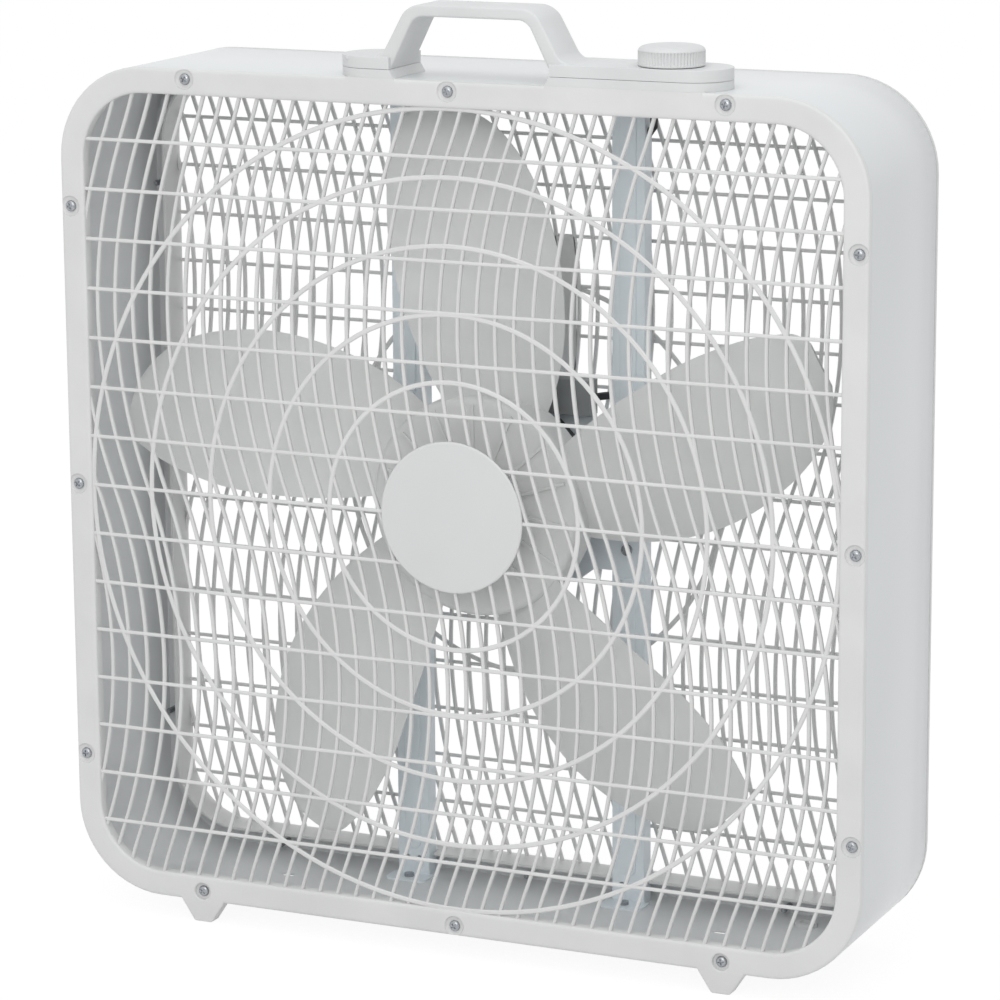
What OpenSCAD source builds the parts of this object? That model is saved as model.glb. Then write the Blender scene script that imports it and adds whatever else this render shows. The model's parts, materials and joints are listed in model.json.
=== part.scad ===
// A 20 inch box fan: a wrapped steel cabinet between two moulded grilles, a five-blade
// impeller on a shaded-pole motor carried by two steel struts, and a handle with a
// rotary speed switch on top. Millimetres, +Z up, the front grille faces -Y.
// Places inside the fan are given from the centre of the front face: x to the right,
// y back into the fan and z up. place() then stands the fan on its feet.

/* [Cabinet] */
// Width of the steel cabinet
case_w = 530; // [480:1:570]
// Height of the steel cabinet
case_h = 530; // [480:1:570]
// Depth over both grille frames
case_d = 126; // [118:1:150]
// Outer radius of the cabinet's corners
corner_r = 58; // [50:1:75]
// Thickness of the sheet steel
sheet_t = 1; // [0.8:0.1:1.4]
// Width of the flange turned in along each open side
flange_w = 12; // [11:0.5:13]
// Width of the two slots in the cabinet floor
slot_w = 9; // [6:1:16]
// Distance of each floor slot from the middle
slot_x = 150; // [120:1:170]

/* [Grilles] */
// Width of the smooth border of a grille
border_w = 16; // [15.5:0.5:20]
// Thickness of the border
border_t = 4; // [3:0.5:5]
// Depth of the lip round the inside of the border
lip_depth = 8; // [6:0.5:8.5]
// Depth that the collar carries the lip of the rear grille on to
rear_lip_depth = 22; // [16:0.5:23]
// Thickness of the lips
lip_t = 2; // [1.5:0.1:2.5]
// Spacing of the S-curved ribs
rib_pitch = 12.35; // [11:0.05:16]
// Width of a rib
rib_t = 2.2; // [1.6:0.1:3]
// Depth of a rib, front to back
rib_depth = 3.2; // [2.4:0.1:4]
// How far a rib swings to each side of its middle line
rib_swing = 20.5; // [8:0.5:24]
// Height of one full S of a rib
rib_wave = 450; // [380:5:520]
// Spacing of the level bars
bar_pitch = 31.3; // [26:0.1:36]
// Height of a bar
bar_t = 2.2; // [1.4:0.1:2.6]
// Depth of a bar, front to back
bar_depth = 2; // [1.6:0.1:2.4]
// How far the bars and rings lie behind the face of the border
bar_inset = 1.4; // [1:0.1:1.6]
// How far the ribs lie behind the faces of the bars
rib_inset = 0.4; // [0.2:0.1:0.6]
// Radius of the innermost ring of the front grille
ring_r = 83; // [70:1:90]
// Spacing of the rings
ring_pitch = 41.4; // [36:0.2:41.4]
// Number of rings on the front grille
ring_count = 5; // [1:1:5]
// Width of a ring
ring_t = 3; // [1.8:0.1:3.4]
// Radius of the single ring of the rear grille
rear_ring_r = 128; // [110:1:140]
// Diameter of the plain disc in the middle of the front grille
medallion_d = 94; // [70:1:110]
// Thickness of that disc
medallion_t = 1.2; // [0.8:0.1:1.3]
// Width of the solid panel moulded into the rear grille
panel_w = 62; // [30:1:100]

/* [Screws] */
// Distance of the grille screws from the outer edge
screw_inset = 6.2; // [5.8:0.1:6.5]
// Distance of the outer screws of each side from its middle
screw_spread = 176.5; // [120:0.5:180]
// Shank diameter of the grille screws
screw_d = 3.6; // [3:0.1:4]
// Head diameter of the grille screws
screw_head_d = 8; // [6:0.1:8.4]
// Height of the head
screw_head_h = 2.2; // [1.6:0.1:2.4]
// Length of the shank
screw_len = 15; // [10:1:18]
// Diameter of the round dimple that each head sits in
dimple_d = 13; // [9:0.5:13]
// Depth of the dimple
dimple_depth = 1.4; // [0.6:0.1:2]

/* [Feet] */
// Width of a foot at the top
foot_w = 30; // [20:1:40]
// Width of a foot at the ground
foot_tip_w = 12; // [8:1:18]
// Height of the cabinet above the ground
foot_drop = 13.8; // [8:0.2:24]
// How far a foot climbs up the border
foot_rise = 13; // [10:0.5:15]
// Thickness of a foot under the cabinet
foot_depth = 9.4; // [6:0.2:14]
// Diameter of the recess round the screw in a foot
foot_hole_d = 11; // [9:0.5:11.4]
// Depth of that recess
foot_hole_depth = 2.6; // [2.4:0.1:3]

/* [Handle and controls] */
// Distance of the handle's middle from the fan's middle
handle_x = 14; // [0:1:16]
// Width of the finger gap at the cabinet
gap_w = 104; // [94:1:116]
// Width of the finger gap under the grip
grip_w = 69; // [50:1:76]
// Height of the finger gap above the cabinet
gap_h = 39; // [32:1:60]
// Thickness of the handle's grip
strap_t = 7; // [5:0.5:9]
// Thickness of the handle's legs where they meet the housing
leg_t = 8; // [7:0.5:13]
// How far the handle's shoulders stand out beyond the finger gap
shoulder_w = 11.5; // [9:0.5:13]
// Radius of the handle's outer shoulders
shoulder_r = 12; // [8:0.5:14]
// Depth of the strap, front to back
strap_depth = 33; // [24:1:38]
// Depth of the control housing, front to back
housing_depth = 45; // [40:1:56]
// Height of the housing's lower half
base_h = 5.5; // [4:0.5:9]
// Height of the housing's upper half
cover_h = 7; // [6:0.5:11]
// Length of the left pad, from the finger gap outwards
pad_len = 39; // [34:1:60]
// Length of the control side, from the finger gap outwards
control_len = 106; // [98:1:130]
// Wall of the housing's upper half
cover_wall = 2; // [1.5:0.1:2.6]
// Flare of the lower half towards the finger gap
base_flare = 3; // [0:0.5:5]
// Diameter of the speed knob
knob_d = 39.6; // [32:0.2:42]
// Height of the speed knob
knob_h = 12; // [10:0.5:18]
// Number of grip grooves round the knob
knob_grooves = 48; // [20:1:60]
// Gap between the knob and the housing
knob_gap = 0.5; // [0.4:0.1:1.5]
// Distance of the knob from the finger gap
knob_reach = 69; // [60:1:70]
// Distance of the knob behind the front face
knob_y = 21; // [20.5:0.5:24]
// Side of the square switch body
switch_w = 23; // [18:1:23]
// Height of the switch body
switch_h = 15; // [12:1:20]
// Diameter of the switch spindle
spindle_d = 6; // [5:0.5:6]
// Diameter of the threaded bush round the spindle
bush_d = 10; // [9:0.5:12]

/* [Impeller] */
// Number of blades
blade_count = 5; // [3:1:5]
// Radius of the blade tips
tip_r = 245; // [200:1:245]
// Radius of the hub
hub_r = 69; // [60:1:72]
// Depth of the hub's rim
hub_depth = 28; // [26:1:30]
// Wall of the hub
hub_wall = 3; // [2.4:0.1:4]
// Number of stiffening ribs on the hub's face
hub_ribs = 15; // [5:1:20]
// Thickness of a blade at the middle of its chord
blade_t = 2.6; // [1.8:0.1:3.4]
// Depth that a blade's section is bowed
blade_bow = 4; // [0:0.5:8]
// How far the hub's face stands in front of the motor
hub_reach = 19; // [16:0.5:22]

/* [Motor and struts] */
// Side of the square stator stack
stator_w = 96; // [88:1:100]
// Thickness of the stator stack
stator_t = 22; // [16:1:26]
// Bore of the stator stack
stator_bore_d = 51; // [44:0.5:54]
// Radial air gap between rotor and stator
air_gap = 0.5; // [0.4:0.05:0.8]
// Depth of the motor's front shell
front_shell_h = 14; // [13:1:16]
// Depth of the motor's rear shell
rear_shell_h = 10; // [9:1:12]
// Outer diameter of the motor shells
shell_d = 84; // [78:1:86]
// Wall of the motor shells
shell_wall = 1.6; // [1.2:0.1:2.2]
// Diameter of the motor shaft
shaft_d = 8; // [6:0.5:10]
// Radial running clearance of the shaft in its bearings
run_clear = 0.03; // [0.02:0.01:0.08]
// Outer diameter of the bearings
bearing_d = 16; // [14:0.5:18]
// Length of a bearing
bearing_l = 8; // [7:0.5:9]
// Distance of each strut's middle from the fan's middle
strut_x = 75; // [66:1:90]
// Width of a strut
strut_w = 22; // [20:1:26]
// Depth of a strut, front to back
strut_depth = 11; // [10:0.5:13]
// Sheet thickness of the struts and the motor bracket
strut_t = 1.2; // [1:0.1:1.6]
// Gap between the struts and the rear grille
strut_gap = 10; // [6:0.5:14]
// Height of the motor bracket where it meets the struts
bracket_h = 96; // [80:1:120]

/* [Hidden] */
$fn = 96;
fit = 0.3;               // gap between neighbours that don't touch
overlap = 0.5;           // how far fused shapes run into each other

// Cabinet and grilles
open_w = case_w - 2 * border_w;
open_h = case_h - 2 * border_w;
open_r = corner_r - border_w;
band_d = case_d - 2 * border_t;
inner_top = case_h / 2 - sheet_t;
dome = 1.2;              // how far the border's edges fall away
bar_y = bar_inset;
rib_y = bar_inset + rib_inset;
rib_back = rib_y + rib_depth;
root_in = lip_t * 0.75;  // how far ribs and bars run into the lip
rib_rows = ceil(open_h / 2 / bar_pitch);
bar_rows = floor((open_h / 2 - bar_t) / bar_pitch);
rib_half = ceil((open_w / 2 + rib_swing) / rib_pitch);
panel_lo = 2 * bar_pitch;
panel_hi = 5 * bar_pitch;
slot_y = 66;             // of the floor slots, behind the front face
slot_l = 4;
stand = foot_drop + case_h / 2;

// Screw points of one grille, as x and z
edge_x = case_w / 2 - screw_inset;
edge_z = case_h / 2 - screw_inset;
top_points = [for (x = [-1, 0, 1]) [x * screw_spread, edge_z]];
side_points = [for (s = [-1, 1], z = [-1, 0, 1]) [s * edge_x, z * screw_spread]];
foot_points = [for (s = [-1, 1]) [s * screw_spread, -edge_z]];
plain_points = concat(top_points, side_points, [[0, -edge_z]]);
screw_points = concat(plain_points, foot_points);
pilot_d = screw_d + 0.2;

// Handle and controls
split_z = case_h / 2 + base_h;
cover_top = split_z + cover_h;
grip_z = case_h / 2 + gap_h;
left_end = handle_x - gap_w / 2 - pad_len;
control_x = handle_x + gap_w / 2;
pad_x = handle_x - gap_w / 2;
knob_x = control_x + knob_reach;
end_r = housing_depth / 2;
strap_y = 3;
switch_top = case_h / 2 - sheet_t;
nut_h = 3;
bush_top = cover_top + nut_h - 0.4;
bush_clear = 0.3;
nut_d = bush_d + 6;
spindle_clear = 0.04;
handle_screw_x = [pad_x - pad_len / 2, control_x + 18, control_x + control_len - 16];
handle_screw_y = housing_depth / 2 + 10;
boss_d = 7;
handle_screw_d = 3;

// The stack from the rear grille forwards
strut_back = case_d - rib_back - strut_gap;
strut_y = strut_back - strut_depth;
bracket_y = strut_y - strut_t;
shell_back = bracket_y;
stator_back = shell_back - rear_shell_h;
stator_y = stator_back - stator_t;
shell_y = stator_y - front_shell_h;
hub_y = shell_y - hub_reach;
flare = stator_w * 0.14; // chamfer on the corners of the stator
rotor_r = stator_bore_d / 2 - air_gap;
rotor_t = stator_t + 2;
shaft_front = hub_y - 9;
shaft_back = shell_back + 5;
boss_r = 11;
boss_back = shell_y - 2.4;
washer_t = 1.2;
washer_r = shaft_d / 2 + 4;
front_bearing_y = shell_y + 0.6;
rear_bearing_y = shell_back - bearing_l + 3;
bearing_cup_t = 1.6;
bolt_d = 4;
bolt_reach = stator_w / 2 - 9;
bolt_points = [for (a = [0:3]) [cos(45 + 90 * a), sin(45 + 90 * a)] * bolt_reach * 1.2];
bolt_front = stator_y - 5;
bolt_back = bracket_y + strut_t + 5.5;
winding_r = 34;
winding_h = 8;
winding_back_h = 6;
bracket_screw_z = bracket_h / 2 - 14;
tab_depth = 15;
tab_w = strut_w + 6;
strut_screw_y = strut_y - tab_depth / 2 + 0.5;
bead_w = strut_w / 2;
bead_h = 1;
box_x = strut_x - strut_w - 13; // black cover of the lead joint
box_w = 30;
box_h = 22;
box_d = 12;
box_z = stator_w / 2 + 14;
lead_d = 5;
lead_hole_d = lead_d + 2;
lead_top = inner_top - 40;
lead_low = box_z;
gland_x = case_w / 2 - corner_r - 12;
gland_y = case_d - border_t - 22;
gland_d = 14;

// Blade stations: share of the way from hub to tip, the front and the rear edge of
// the chord as turns in degrees from the blade's axis, and how far each edge lies
// behind the hub's front face as a share of the hub's depth.
blade_stations = [
  [0.00, 17.0, -34.0, 0.06, 0.96],
  [0.10, 18.4, -31.0, -0.12, 0.95],
  [0.24, 19.0, -27.0, -0.26, 0.86],
  [0.41, 18.6, -21.9, -0.32, 0.70],
  [0.58, 17.8, -16.6, -0.24, 0.59],
  [0.72, 16.4, -11.6, -0.10, 0.55],
  [0.83, 15.0, -7.4, 0.00, 0.54],
  [0.92, 13.4, -3.2, 0.08, 0.52],
  [0.97, 12.2, 0.2, 0.14, 0.48],
  [1.00, 10.2, 3.6, 0.20, 0.38]
];
blade_root = hub_r - hub_wall / 2;
chord_steps = 8;

// Route of the leads from the switch to the joint, held all the way
lead_route = [
  [knob_x - switch_w / 2, knob_y, switch_top - 7],
  [knob_x - switch_w / 2 - 8, knob_y, switch_top - 8],
  [knob_x - switch_w / 2 - 13, knob_y + 12, switch_top - 9],
  [strut_x + strut_w / 2 + 8, knob_y + 44, switch_top - 10],
  [strut_x + strut_w / 2 + 6, strut_y - 10, switch_top - 14],
  [strut_x + strut_w / 2 + 5, strut_y + 2, lead_top + 14],
  [strut_x + strut_w / 2 + 4, strut_y + 5, lead_top + 6],
  [strut_x + strut_w / 2 - 1, strut_y + 6, lead_top],
  [strut_x + 3, strut_y + 6, lead_top - 6],
  [strut_x, strut_y + 6, lead_top - 18],
  [strut_x, strut_y + 6, lead_low + 18],
  [strut_x - 3, strut_y + 6, lead_low + 6],
  [strut_x - strut_w / 2 + 1, strut_y + 5, lead_low],
  [strut_x - strut_w / 2 - 5, strut_y - 1, lead_low],
  [box_x + box_w / 2, bracket_y - box_d / 2, lead_low]
];

// ---- Helpers ----

// Stands the fan on its feet, with the origin under its middle
module place() {
  translate([0, -case_d / 2, stand]) children();
}

// Turns a front piece round to the back of the fan
module at_rear() {
  translate([0, case_d, 0]) rotate([0, 0, 180]) children();
}

// Extrudes an outline, drawn as x and z, from y over a depth
module slab(y, depth) {
  translate([0, y + depth, 0]) rotate([90, 0, 0]) linear_extrude(depth) children();
}

// A cylinder along y from y over a length, about x and z
module rod(x, z, y, length, d) {
  translate([x, y + length, z]) rotate([90, 0, 0]) cylinder(h = length, d = d);
}

// Sweeps a profile, drawn as distance out of the corner's centre and depth, round a
// rectangle with round corners
module around(w, h, r) {
  rotate([-90, 0, 0])
    for (k = [0:3]) {
      side = (k % 2 == 0 ? w : h) - 2 * r;
      reach = (k % 2 == 0 ? h : w) / 2 - r;
      rotate([0, 0, 90 * k]) {
        translate([-side / 2, reach, 0]) rotate([90, 0, 90]) linear_extrude(side) children();
        translate([side / 2, reach, 0]) rotate_extrude(angle = 90) children();
      }
    }
}

module rounded_rect(w, h, r) {
  for (k = [0:1])
    square([w - 2 * r * k, h - 2 * r * (1 - k)], center = true);
  for (sx = [-1, 1], sy = [-1, 1])
    translate([sx * (w / 2 - r), sy * (h / 2 - r)]) circle(r);
}

module opening(grow) {
  rounded_rect(open_w + 2 * grow, open_h + 2 * grow, open_r + grow);
}

// ---- Cabinet ----

module band_profile() {
  polygon([
    [corner_r, 0], [corner_r, band_d], [corner_r - flange_w, band_d],
    [corner_r - flange_w, band_d - sheet_t], [corner_r - sheet_t, band_d - sheet_t],
    [corner_r - sheet_t, sheet_t], [corner_r - flange_w, sheet_t], [corner_r - flange_w, 0]
  ]);
}

module cabinet_band() {
  color("#dfe6ee") place() difference() {
    translate([0, border_t, 0]) around(case_w, case_h, corner_r) band_profile();
    for (p = screw_points)
      rod(p[0], p[1], 0, case_d, screw_d);
    for (s = [-1, 1]) {
      translate([s * slot_x - slot_w / 2, slot_y, -case_h / 2 - 1]) cube([slot_w, slot_l, sheet_t + 2]);
      for (e = [-1, 1])
        translate([s * strut_x, strut_screw_y, e * (case_h / 2 - sheet_t / 2)])
          cylinder(h = sheet_t + 2, d = screw_d, center = true);
    }
    translate([knob_x, knob_y, inner_top - 1]) cylinder(h = sheet_t + 2, d = bush_d + 2 * bush_clear);
    for (x = handle_screw_x)
      translate([x, handle_screw_y, inner_top - 1]) cylinder(h = sheet_t + 2, d = handle_screw_d + 0.4);
    translate([gland_x, gland_y, -case_h / 2 - 1]) cylinder(h = sheet_t + 2, d = gland_d - 3);
  }
}

// ---- Grilles ----

// Domed border with a lip that runs back inside the cabinet's flange
module border_profile(lip) {
  polygon([
    [corner_r, border_t], [corner_r, dome + 0.8], [corner_r - 0.6, dome * 0.5],
    [corner_r - 2, dome * 0.15], [corner_r - 4.5, 0], [open_r + 2.5, 0], [open_r + 0.8, dome * 0.25],
    [open_r, dome], [open_r, lip], [open_r + lip_t, lip], [open_r + lip_t, border_t]
  ]);
}

// Flush tongue above a foot, moulded with the border
module foot_tongue() {
  slab(0, border_t) translate([-foot_w / 2, -case_h / 2]) square([foot_w, foot_rise]);
}

// Foot under the tongue, which narrows towards the ground
module foot() {
  low = -case_h / 2 - foot_drop;
  slab(0, foot_depth) polygon([
    [-foot_w / 2, -case_h / 2], [-foot_tip_w / 2, low], [foot_tip_w / 2, low], [foot_w / 2, -case_h / 2]
  ]);
}

module feet() {
  for (p = foot_points)
    translate([p[0], 0, 0]) foot();
}

module grille_border(lip) {
  difference() {
    union() {
      around(case_w, case_h, corner_r) border_profile(lip);
      for (p = foot_points)
        translate([p[0], 0, 0]) foot_tongue();
      children();
    }
    for (p = plain_points)
      rod(p[0], p[1], -1, 1 + dimple_depth, dimple_d);
    for (p = foot_points)
      rod(p[0], p[1], -1, 1 + foot_hole_depth, foot_hole_d);
    for (p = screw_points)
      rod(p[0], p[1], -1, border_t + 2, pilot_d);
  }
}

// Middle line of a rib: even arcs, by turns to the left and to the right
function rib_x(z) =
  let (t = 2 * z / rib_wave, u = t - floor(t))
  (floor(t) % 2 == 0 ? -4 : 4) * rib_swing * u * (1 - u);

// S-curved ribs, straight between the bars and cut off inside the lip
module ribs() {
  rows = [for (i = [-rib_rows:rib_rows]) i * bar_pitch];
  slab(rib_y, rib_depth) intersection() {
    for (k = [-rib_half:rib_half])
      translate([k * rib_pitch, 0])
        polygon(concat(
          [for (z = rows) [rib_x(z) - rib_t / 2, z]],
          [for (i = [len(rows) - 1:-1:0]) [rib_x(rows[i]) + rib_t / 2, rows[i]]]
        ));
    opening(root_in);
  }
}

module bars_and_rings(radii) {
  slab(bar_y, bar_depth) {
    intersection() {
      for (i = [-bar_rows:bar_rows])
        translate([0, i * bar_pitch]) square([open_w + 2 * root_in, bar_t], center = true);
      opening(root_in);
    }
    for (r = radii)
      difference() {
        circle(r + ring_t / 2);
        circle(r - ring_t / 2);
      }
  }
}

module front_grille() {
  color("#d8d8d8") place() {
    // The border runs square up to the control housing where the two meet
    grille_border(lip_depth) {
      slab(0, border_t) translate([left_end + end_r, case_h / 2 - 6])
        square([pad_len - end_r + base_flare, 6]);
      slab(0, border_t) translate([control_x - base_flare, case_h / 2 - 6])
        square([control_len - end_r + base_flare, 6]);
    }
    ribs();
    bars_and_rings([for (i = [0:ring_count - 1]) ring_r + i * ring_pitch]);
  }
}

module rear_grille() {
  color("#d4d4d4") place() at_rear() {
    grille_border(lip_depth);
    ribs();
    bars_and_rings([rear_ring_r]);
    slab(bar_y + bar_depth, rib_inset + rib_depth - bar_depth)
      translate([-panel_w / 2, panel_lo]) square([panel_w, panel_hi - panel_lo]);
  }
}

// The rear collar carries the lip of the rear grille on to the motor's struts
module collar_corners() {
  intersection() {
    difference() {
      opening(lip_t);
      opening(0);
    }
    for (sx = [-1, 1], sz = [-1, 1])
      translate([sx * case_w / 2, sz * case_h / 2]) square(2 * corner_r, center = true);
  }
}

// Its straight walls, notched where the struts pass them
module rear_collar() {
  color("#d4d4d4") place() at_rear() difference() {
    slab(lip_depth, rear_lip_depth - lip_depth)
      for (s = [-1, 1]) {
        translate([s * (open_w + lip_t) / 2, 0])
          square([lip_t, case_h - 2 * corner_r], center = true);
        translate([0, s * (open_h + lip_t) / 2])
          square([case_w - 2 * corner_r, lip_t], center = true);
      }
    for (s = [-1, 1])
      slab(case_d - strut_back - 1, rear_lip_depth)
        translate([s * strut_x - strut_w / 2 - 1.5, -case_h / 2]) square([strut_w + 3, case_h]);
  }
}

// Its four rounded corners
module rear_collar_corners() {
  color("#d4d4d4") place() at_rear()
    slab(lip_depth, rear_lip_depth - lip_depth) collar_corners();
}

module front_feet() { color("#d8d8d8") place() feet(); }
module rear_feet() { color("#d4d4d4") place() at_rear() feet(); }

module front_medallion() {
  color("#d6d6d6") place() {
    slab(bar_y - medallion_t, medallion_t) circle(d = medallion_d);
  }
}

// ---- Handle and controls ----

// Bar of the housing with one round end, from the finger gap outwards. The profile
// is half of its section, as distance from the middle line and height.
module pad(x, len, side, profile) {
  back = [for (i = [len(profile) - 1:-1:0]) [-profile[i][0], profile[i][1]]];
  translate([side > 0 ? x : x - len + end_r, end_r, 0]) rotate([90, 0, 90])
    linear_extrude(len - end_r) polygon(concat(profile, back));
  translate([x + side * (len - end_r), end_r, 0]) rotate([0, 0, -90 * side])
    rotate_extrude(angle = 180)
      polygon(concat([[0, profile[0][1]]], profile, [[0, profile[len(profile) - 1][1]]]));
}

module pads(profile) {
  pad(pad_x, pad_len, -1, profile);
  pad(control_x, control_len, 1, profile);
}

// Screw and switch holes down through the housing
module housing_holes(z, h, d) {
  for (x = handle_screw_x)
    translate([x, handle_screw_y, z]) cylinder(h = h, d = d);
  translate([knob_x, knob_y, z]) cylinder(h = h + cover_h, d = bush_d + 2 * bush_clear);
}

module control_base() {
  color("#d6d8da") place() difference() {
    union() {
      pads([[end_r, case_h / 2], [end_r, split_z]]);
      for (s = [-1, 1])
        translate([handle_x + s * gap_w / 2, 0, 0]) slab(0, housing_depth)
          polygon([[-s * base_flare, case_h / 2], [s, case_h / 2], [s, split_z], [0, split_z]]);
    }
    housing_holes(case_h / 2 - 1, base_h + 2, handle_screw_d + 0.4);
  }
}

// Half of an outline that narrows upwards, with its top corner rounded off: from
// the point low to the height of top, where it is 2 * top[0] wide
module tapered_half(low, top, r) {
  turn = atan2(top[1] - low[1], low[0] - top[0]);
  t = r * tan(turn / 2);
  polygon([
    [-1, low[1]], low, top + t * [cos(turn), -sin(turn)], [top[0] - t, top[1] - r],
    [top[0] - t, top[1]], [-1, top[1]]
  ]);
  translate([top[0] - t, top[1] - r]) circle(r);
}

module tapered(low, top, r) {
  for (m = [0, 1]) mirror([m, 0]) tapered_half(low, top, r);
}

// Outline of the handle, as x and z about its middle
module strap_outline() {
  foot_x = gap_w / 2 + leg_t;
  top = [grip_w / 2 + shoulder_w, grip_z + strap_t];
  turn = atan2(top[1] - cover_top, foot_x - top[0]);
  r = 12;
  t = r * tan(turn / 2);
  difference() {
    union() {
      tapered([foot_x, cover_top], top, shoulder_r);
      translate([-gap_w / 2 - 1, split_z]) square([gap_w + 2, cover_h + 1]);
    }
    translate([-gap_w / 2, split_z - 2]) square([gap_w, 2]);
    tapered([gap_w / 2, split_z], [grip_w / 2, grip_z], 8);
  }
  // Fillets down to the housing
  for (m = [0, 1]) mirror([m, 0])
    difference() {
      polygon([
        [foot_x - 2, cover_top - 1], [foot_x + t, cover_top - 1], [foot_x + t, cover_top],
        [foot_x + t, cover_top + r], [foot_x - t * cos(turn), cover_top + t * sin(turn)]
      ]);
      translate([foot_x + t, cover_top + r]) circle(r);
    }
}

module handle_cover() {
  color("#dadada") place() difference() {
    union() {
      pads([
        [end_r, split_z], [end_r, cover_top - 2.4], [end_r - 0.4, cover_top - 1.2],
        [end_r - 1.2, cover_top - 0.4], [end_r - 2.4, cover_top]
      ]);
      translate([handle_x, 0, 0]) slab(strap_y, strap_depth) strap_outline();
    }
    difference() {
      pad(control_x + leg_t, control_len - leg_t, 1, [
        [end_r - cover_wall, split_z - 1], [end_r - cover_wall, cover_top - cover_wall]
      ]);
      for (x = [handle_screw_x[1], handle_screw_x[2]])
        translate([x, handle_screw_y, split_z - 2]) cylinder(h = cover_h + 2, d = boss_d);
    }
    housing_holes(split_z - 1, cover_h - 1, handle_screw_d);
  }
}

module speed_knob() {
  base = cover_top + knob_gap;
  color("#dcdcdc") place() translate([knob_x, knob_y, base]) difference() {
    rotate_extrude() polygon([
      [0, 0], [knob_d / 2, 0], [knob_d / 2, knob_h - 4], [knob_d / 2 - 0.6, knob_h - 2.4],
      [knob_d / 2 - 2.4, knob_h - 0.9], [knob_d / 2 - 6, knob_h - 0.3], [0, knob_h]
    ]);
    for (i = [0:knob_grooves - 1])
      rotate([0, 0, i * 360 / knob_grooves])
        translate([knob_d / 2 + 0.2, 0, -1]) cylinder(h = knob_h - 2.5, r = 0.7);
    translate([0, 0, -1]) cylinder(h = nut_h + 2, d = nut_d + 4);
    translate([0, 0, -1]) cylinder(h = knob_h - 1.5, d = spindle_d);
  }
}

module switch_body() {
  color("#2e2e30") place() difference() {
    union() {
      translate([knob_x - switch_w / 2, knob_y - switch_w / 2, switch_top - switch_h])
        cube([switch_w, switch_w, switch_h]);
      translate([knob_x, knob_y, switch_top - overlap])
        cylinder(h = bush_top - switch_top + overlap, d = bush_d);
    }
    translate([knob_x, knob_y, switch_top - switch_h + 3])
      cylinder(h = case_h, d = spindle_d + 2 * spindle_clear);
    translate([knob_x, knob_y, switch_top - switch_h + 3]) cylinder(h = 5, d = spindle_d + 6);
  }
}

// Spindle with the collar that keeps it in the switch
module switch_spindle() {
  low = switch_top - switch_h + 3 + fit;
  color("#c9b27a") place() translate([knob_x, knob_y, 0]) {
    translate([0, 0, low]) cylinder(h = cover_top + knob_gap + knob_h - 2.8 - low, d = spindle_d);
    translate([0, 0, low + 1]) cylinder(h = 3, d = spindle_d + 5);
  }
}

module switch_nut() {
  color("#c4c6c8") place() translate([knob_x, knob_y, cover_top]) difference() {
    cylinder(h = nut_h - 0.8, d = nut_d, $fn = 6);
    translate([0, 0, -1]) cylinder(h = nut_h + 2, d = bush_d);
  }
}

// ---- Leads ----

function unit(v) = v / norm(v);
function lead_way(i) = unit(lead_route[min(i + 1, len(lead_route) - 1)] - lead_route[max(i - 1, 0)]);
function lead_side(i) = unit(cross(lead_way(i), [0.23, 0.31, 0.92] + lead_way(i)[2] * [0.4, 0.5, -0.8]));

module switch_leads() {
  sides = 8;
  rings = len(lead_route);
  points = [
    for (i = [0:rings - 1], a = [0:sides - 1])
      lead_route[i] + lead_d / 2 * (cos(360 * a / sides) * lead_side(i)
        + sin(360 * a / sides) * cross(lead_way(i), lead_side(i)))
  ];
  walls = [
    for (i = [0:rings - 2], a = [0:sides - 1])
      let (b = (a + 1) % sides, p = i * sides, q = p + sides)
        each [[p + a, q + b, p + b], [p + a, q + a, q + b]]
  ];
  color("#26262a") place()
    polyhedron(points, concat(
      walls, [[for (a = [0:sides - 1]) a], [for (a = [sides - 1:-1:0]) (rings - 1) * sides + a]]
    ));
}

module lead_joint_cover() {
  color("#2b2b2e") place() difference() {
    translate([box_x - box_w / 2, bracket_y - box_d, box_z - box_h / 2]) cube([box_w, box_d, box_h]);
    translate([box_x + box_w / 2, bracket_y - box_d / 2, box_z]) sphere(d = lead_d + 2 * fit);
  }
}

// ---- Struts and bracket ----

// Channel open to the back, with a lengthwise bead on its face
module strut_section() {
  difference() {
    union() {
      translate([-strut_w / 2, strut_y]) square([strut_w, strut_depth]);
      translate([-bead_w / 2, strut_y - bead_h]) square([bead_w, bead_h + overlap]);
    }
    translate([-strut_w / 2 + strut_t, strut_y + strut_t]) square([strut_w - 2 * strut_t, strut_depth]);
  }
}

module strut(s) {
  color("#c3cdd8") translate([s * strut_x, 0, 0]) difference() {
    union() {
      translate([0, 0, -inner_top]) linear_extrude(2 * inner_top) strut_section();
      for (e = [-1, 1])
        translate([-tab_w / 2, strut_y - tab_depth, e > 0 ? inner_top - strut_t : -inner_top])
          cube([tab_w, tab_depth + strut_t, strut_t]);
    }
    // The bead dies out behind the bracket
    translate([-strut_w, strut_y - bead_h - 1, -bracket_h / 2 - 4])
      cube([2 * strut_w, bead_h + 1, bracket_h + 8]);
    for (e = [-1, 1]) {
      translate([0, strut_screw_y, e * inner_top]) cylinder(h = 4 * strut_t, d = screw_d, center = true);
      rod(0, e * bracket_screw_z, strut_y - 3, 8, screw_d);
      for (x = [-4, 4])
        rod(x, -inner_top + 12, strut_y - 3, 8, 3.2);
    }
    if (s > 0) {
      translate([0, strut_y + strut_depth / 2 + 0.5, lead_top]) rotate([0, 90, 0])
        cylinder(h = strut_w, d = lead_hole_d);
      translate([-strut_w / 2 - 1, strut_y + 4.5, lead_low]) rotate([0, 90, 0])
        cylinder(h = 5, d = lead_hole_d);
      rod(-strut_w / 2, lead_low, strut_y - 2, strut_depth - 3, lead_hole_d);
    }
  }
}

module strut_left() { place() strut(-1); }
module strut_right() { place() strut(1); }

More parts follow.
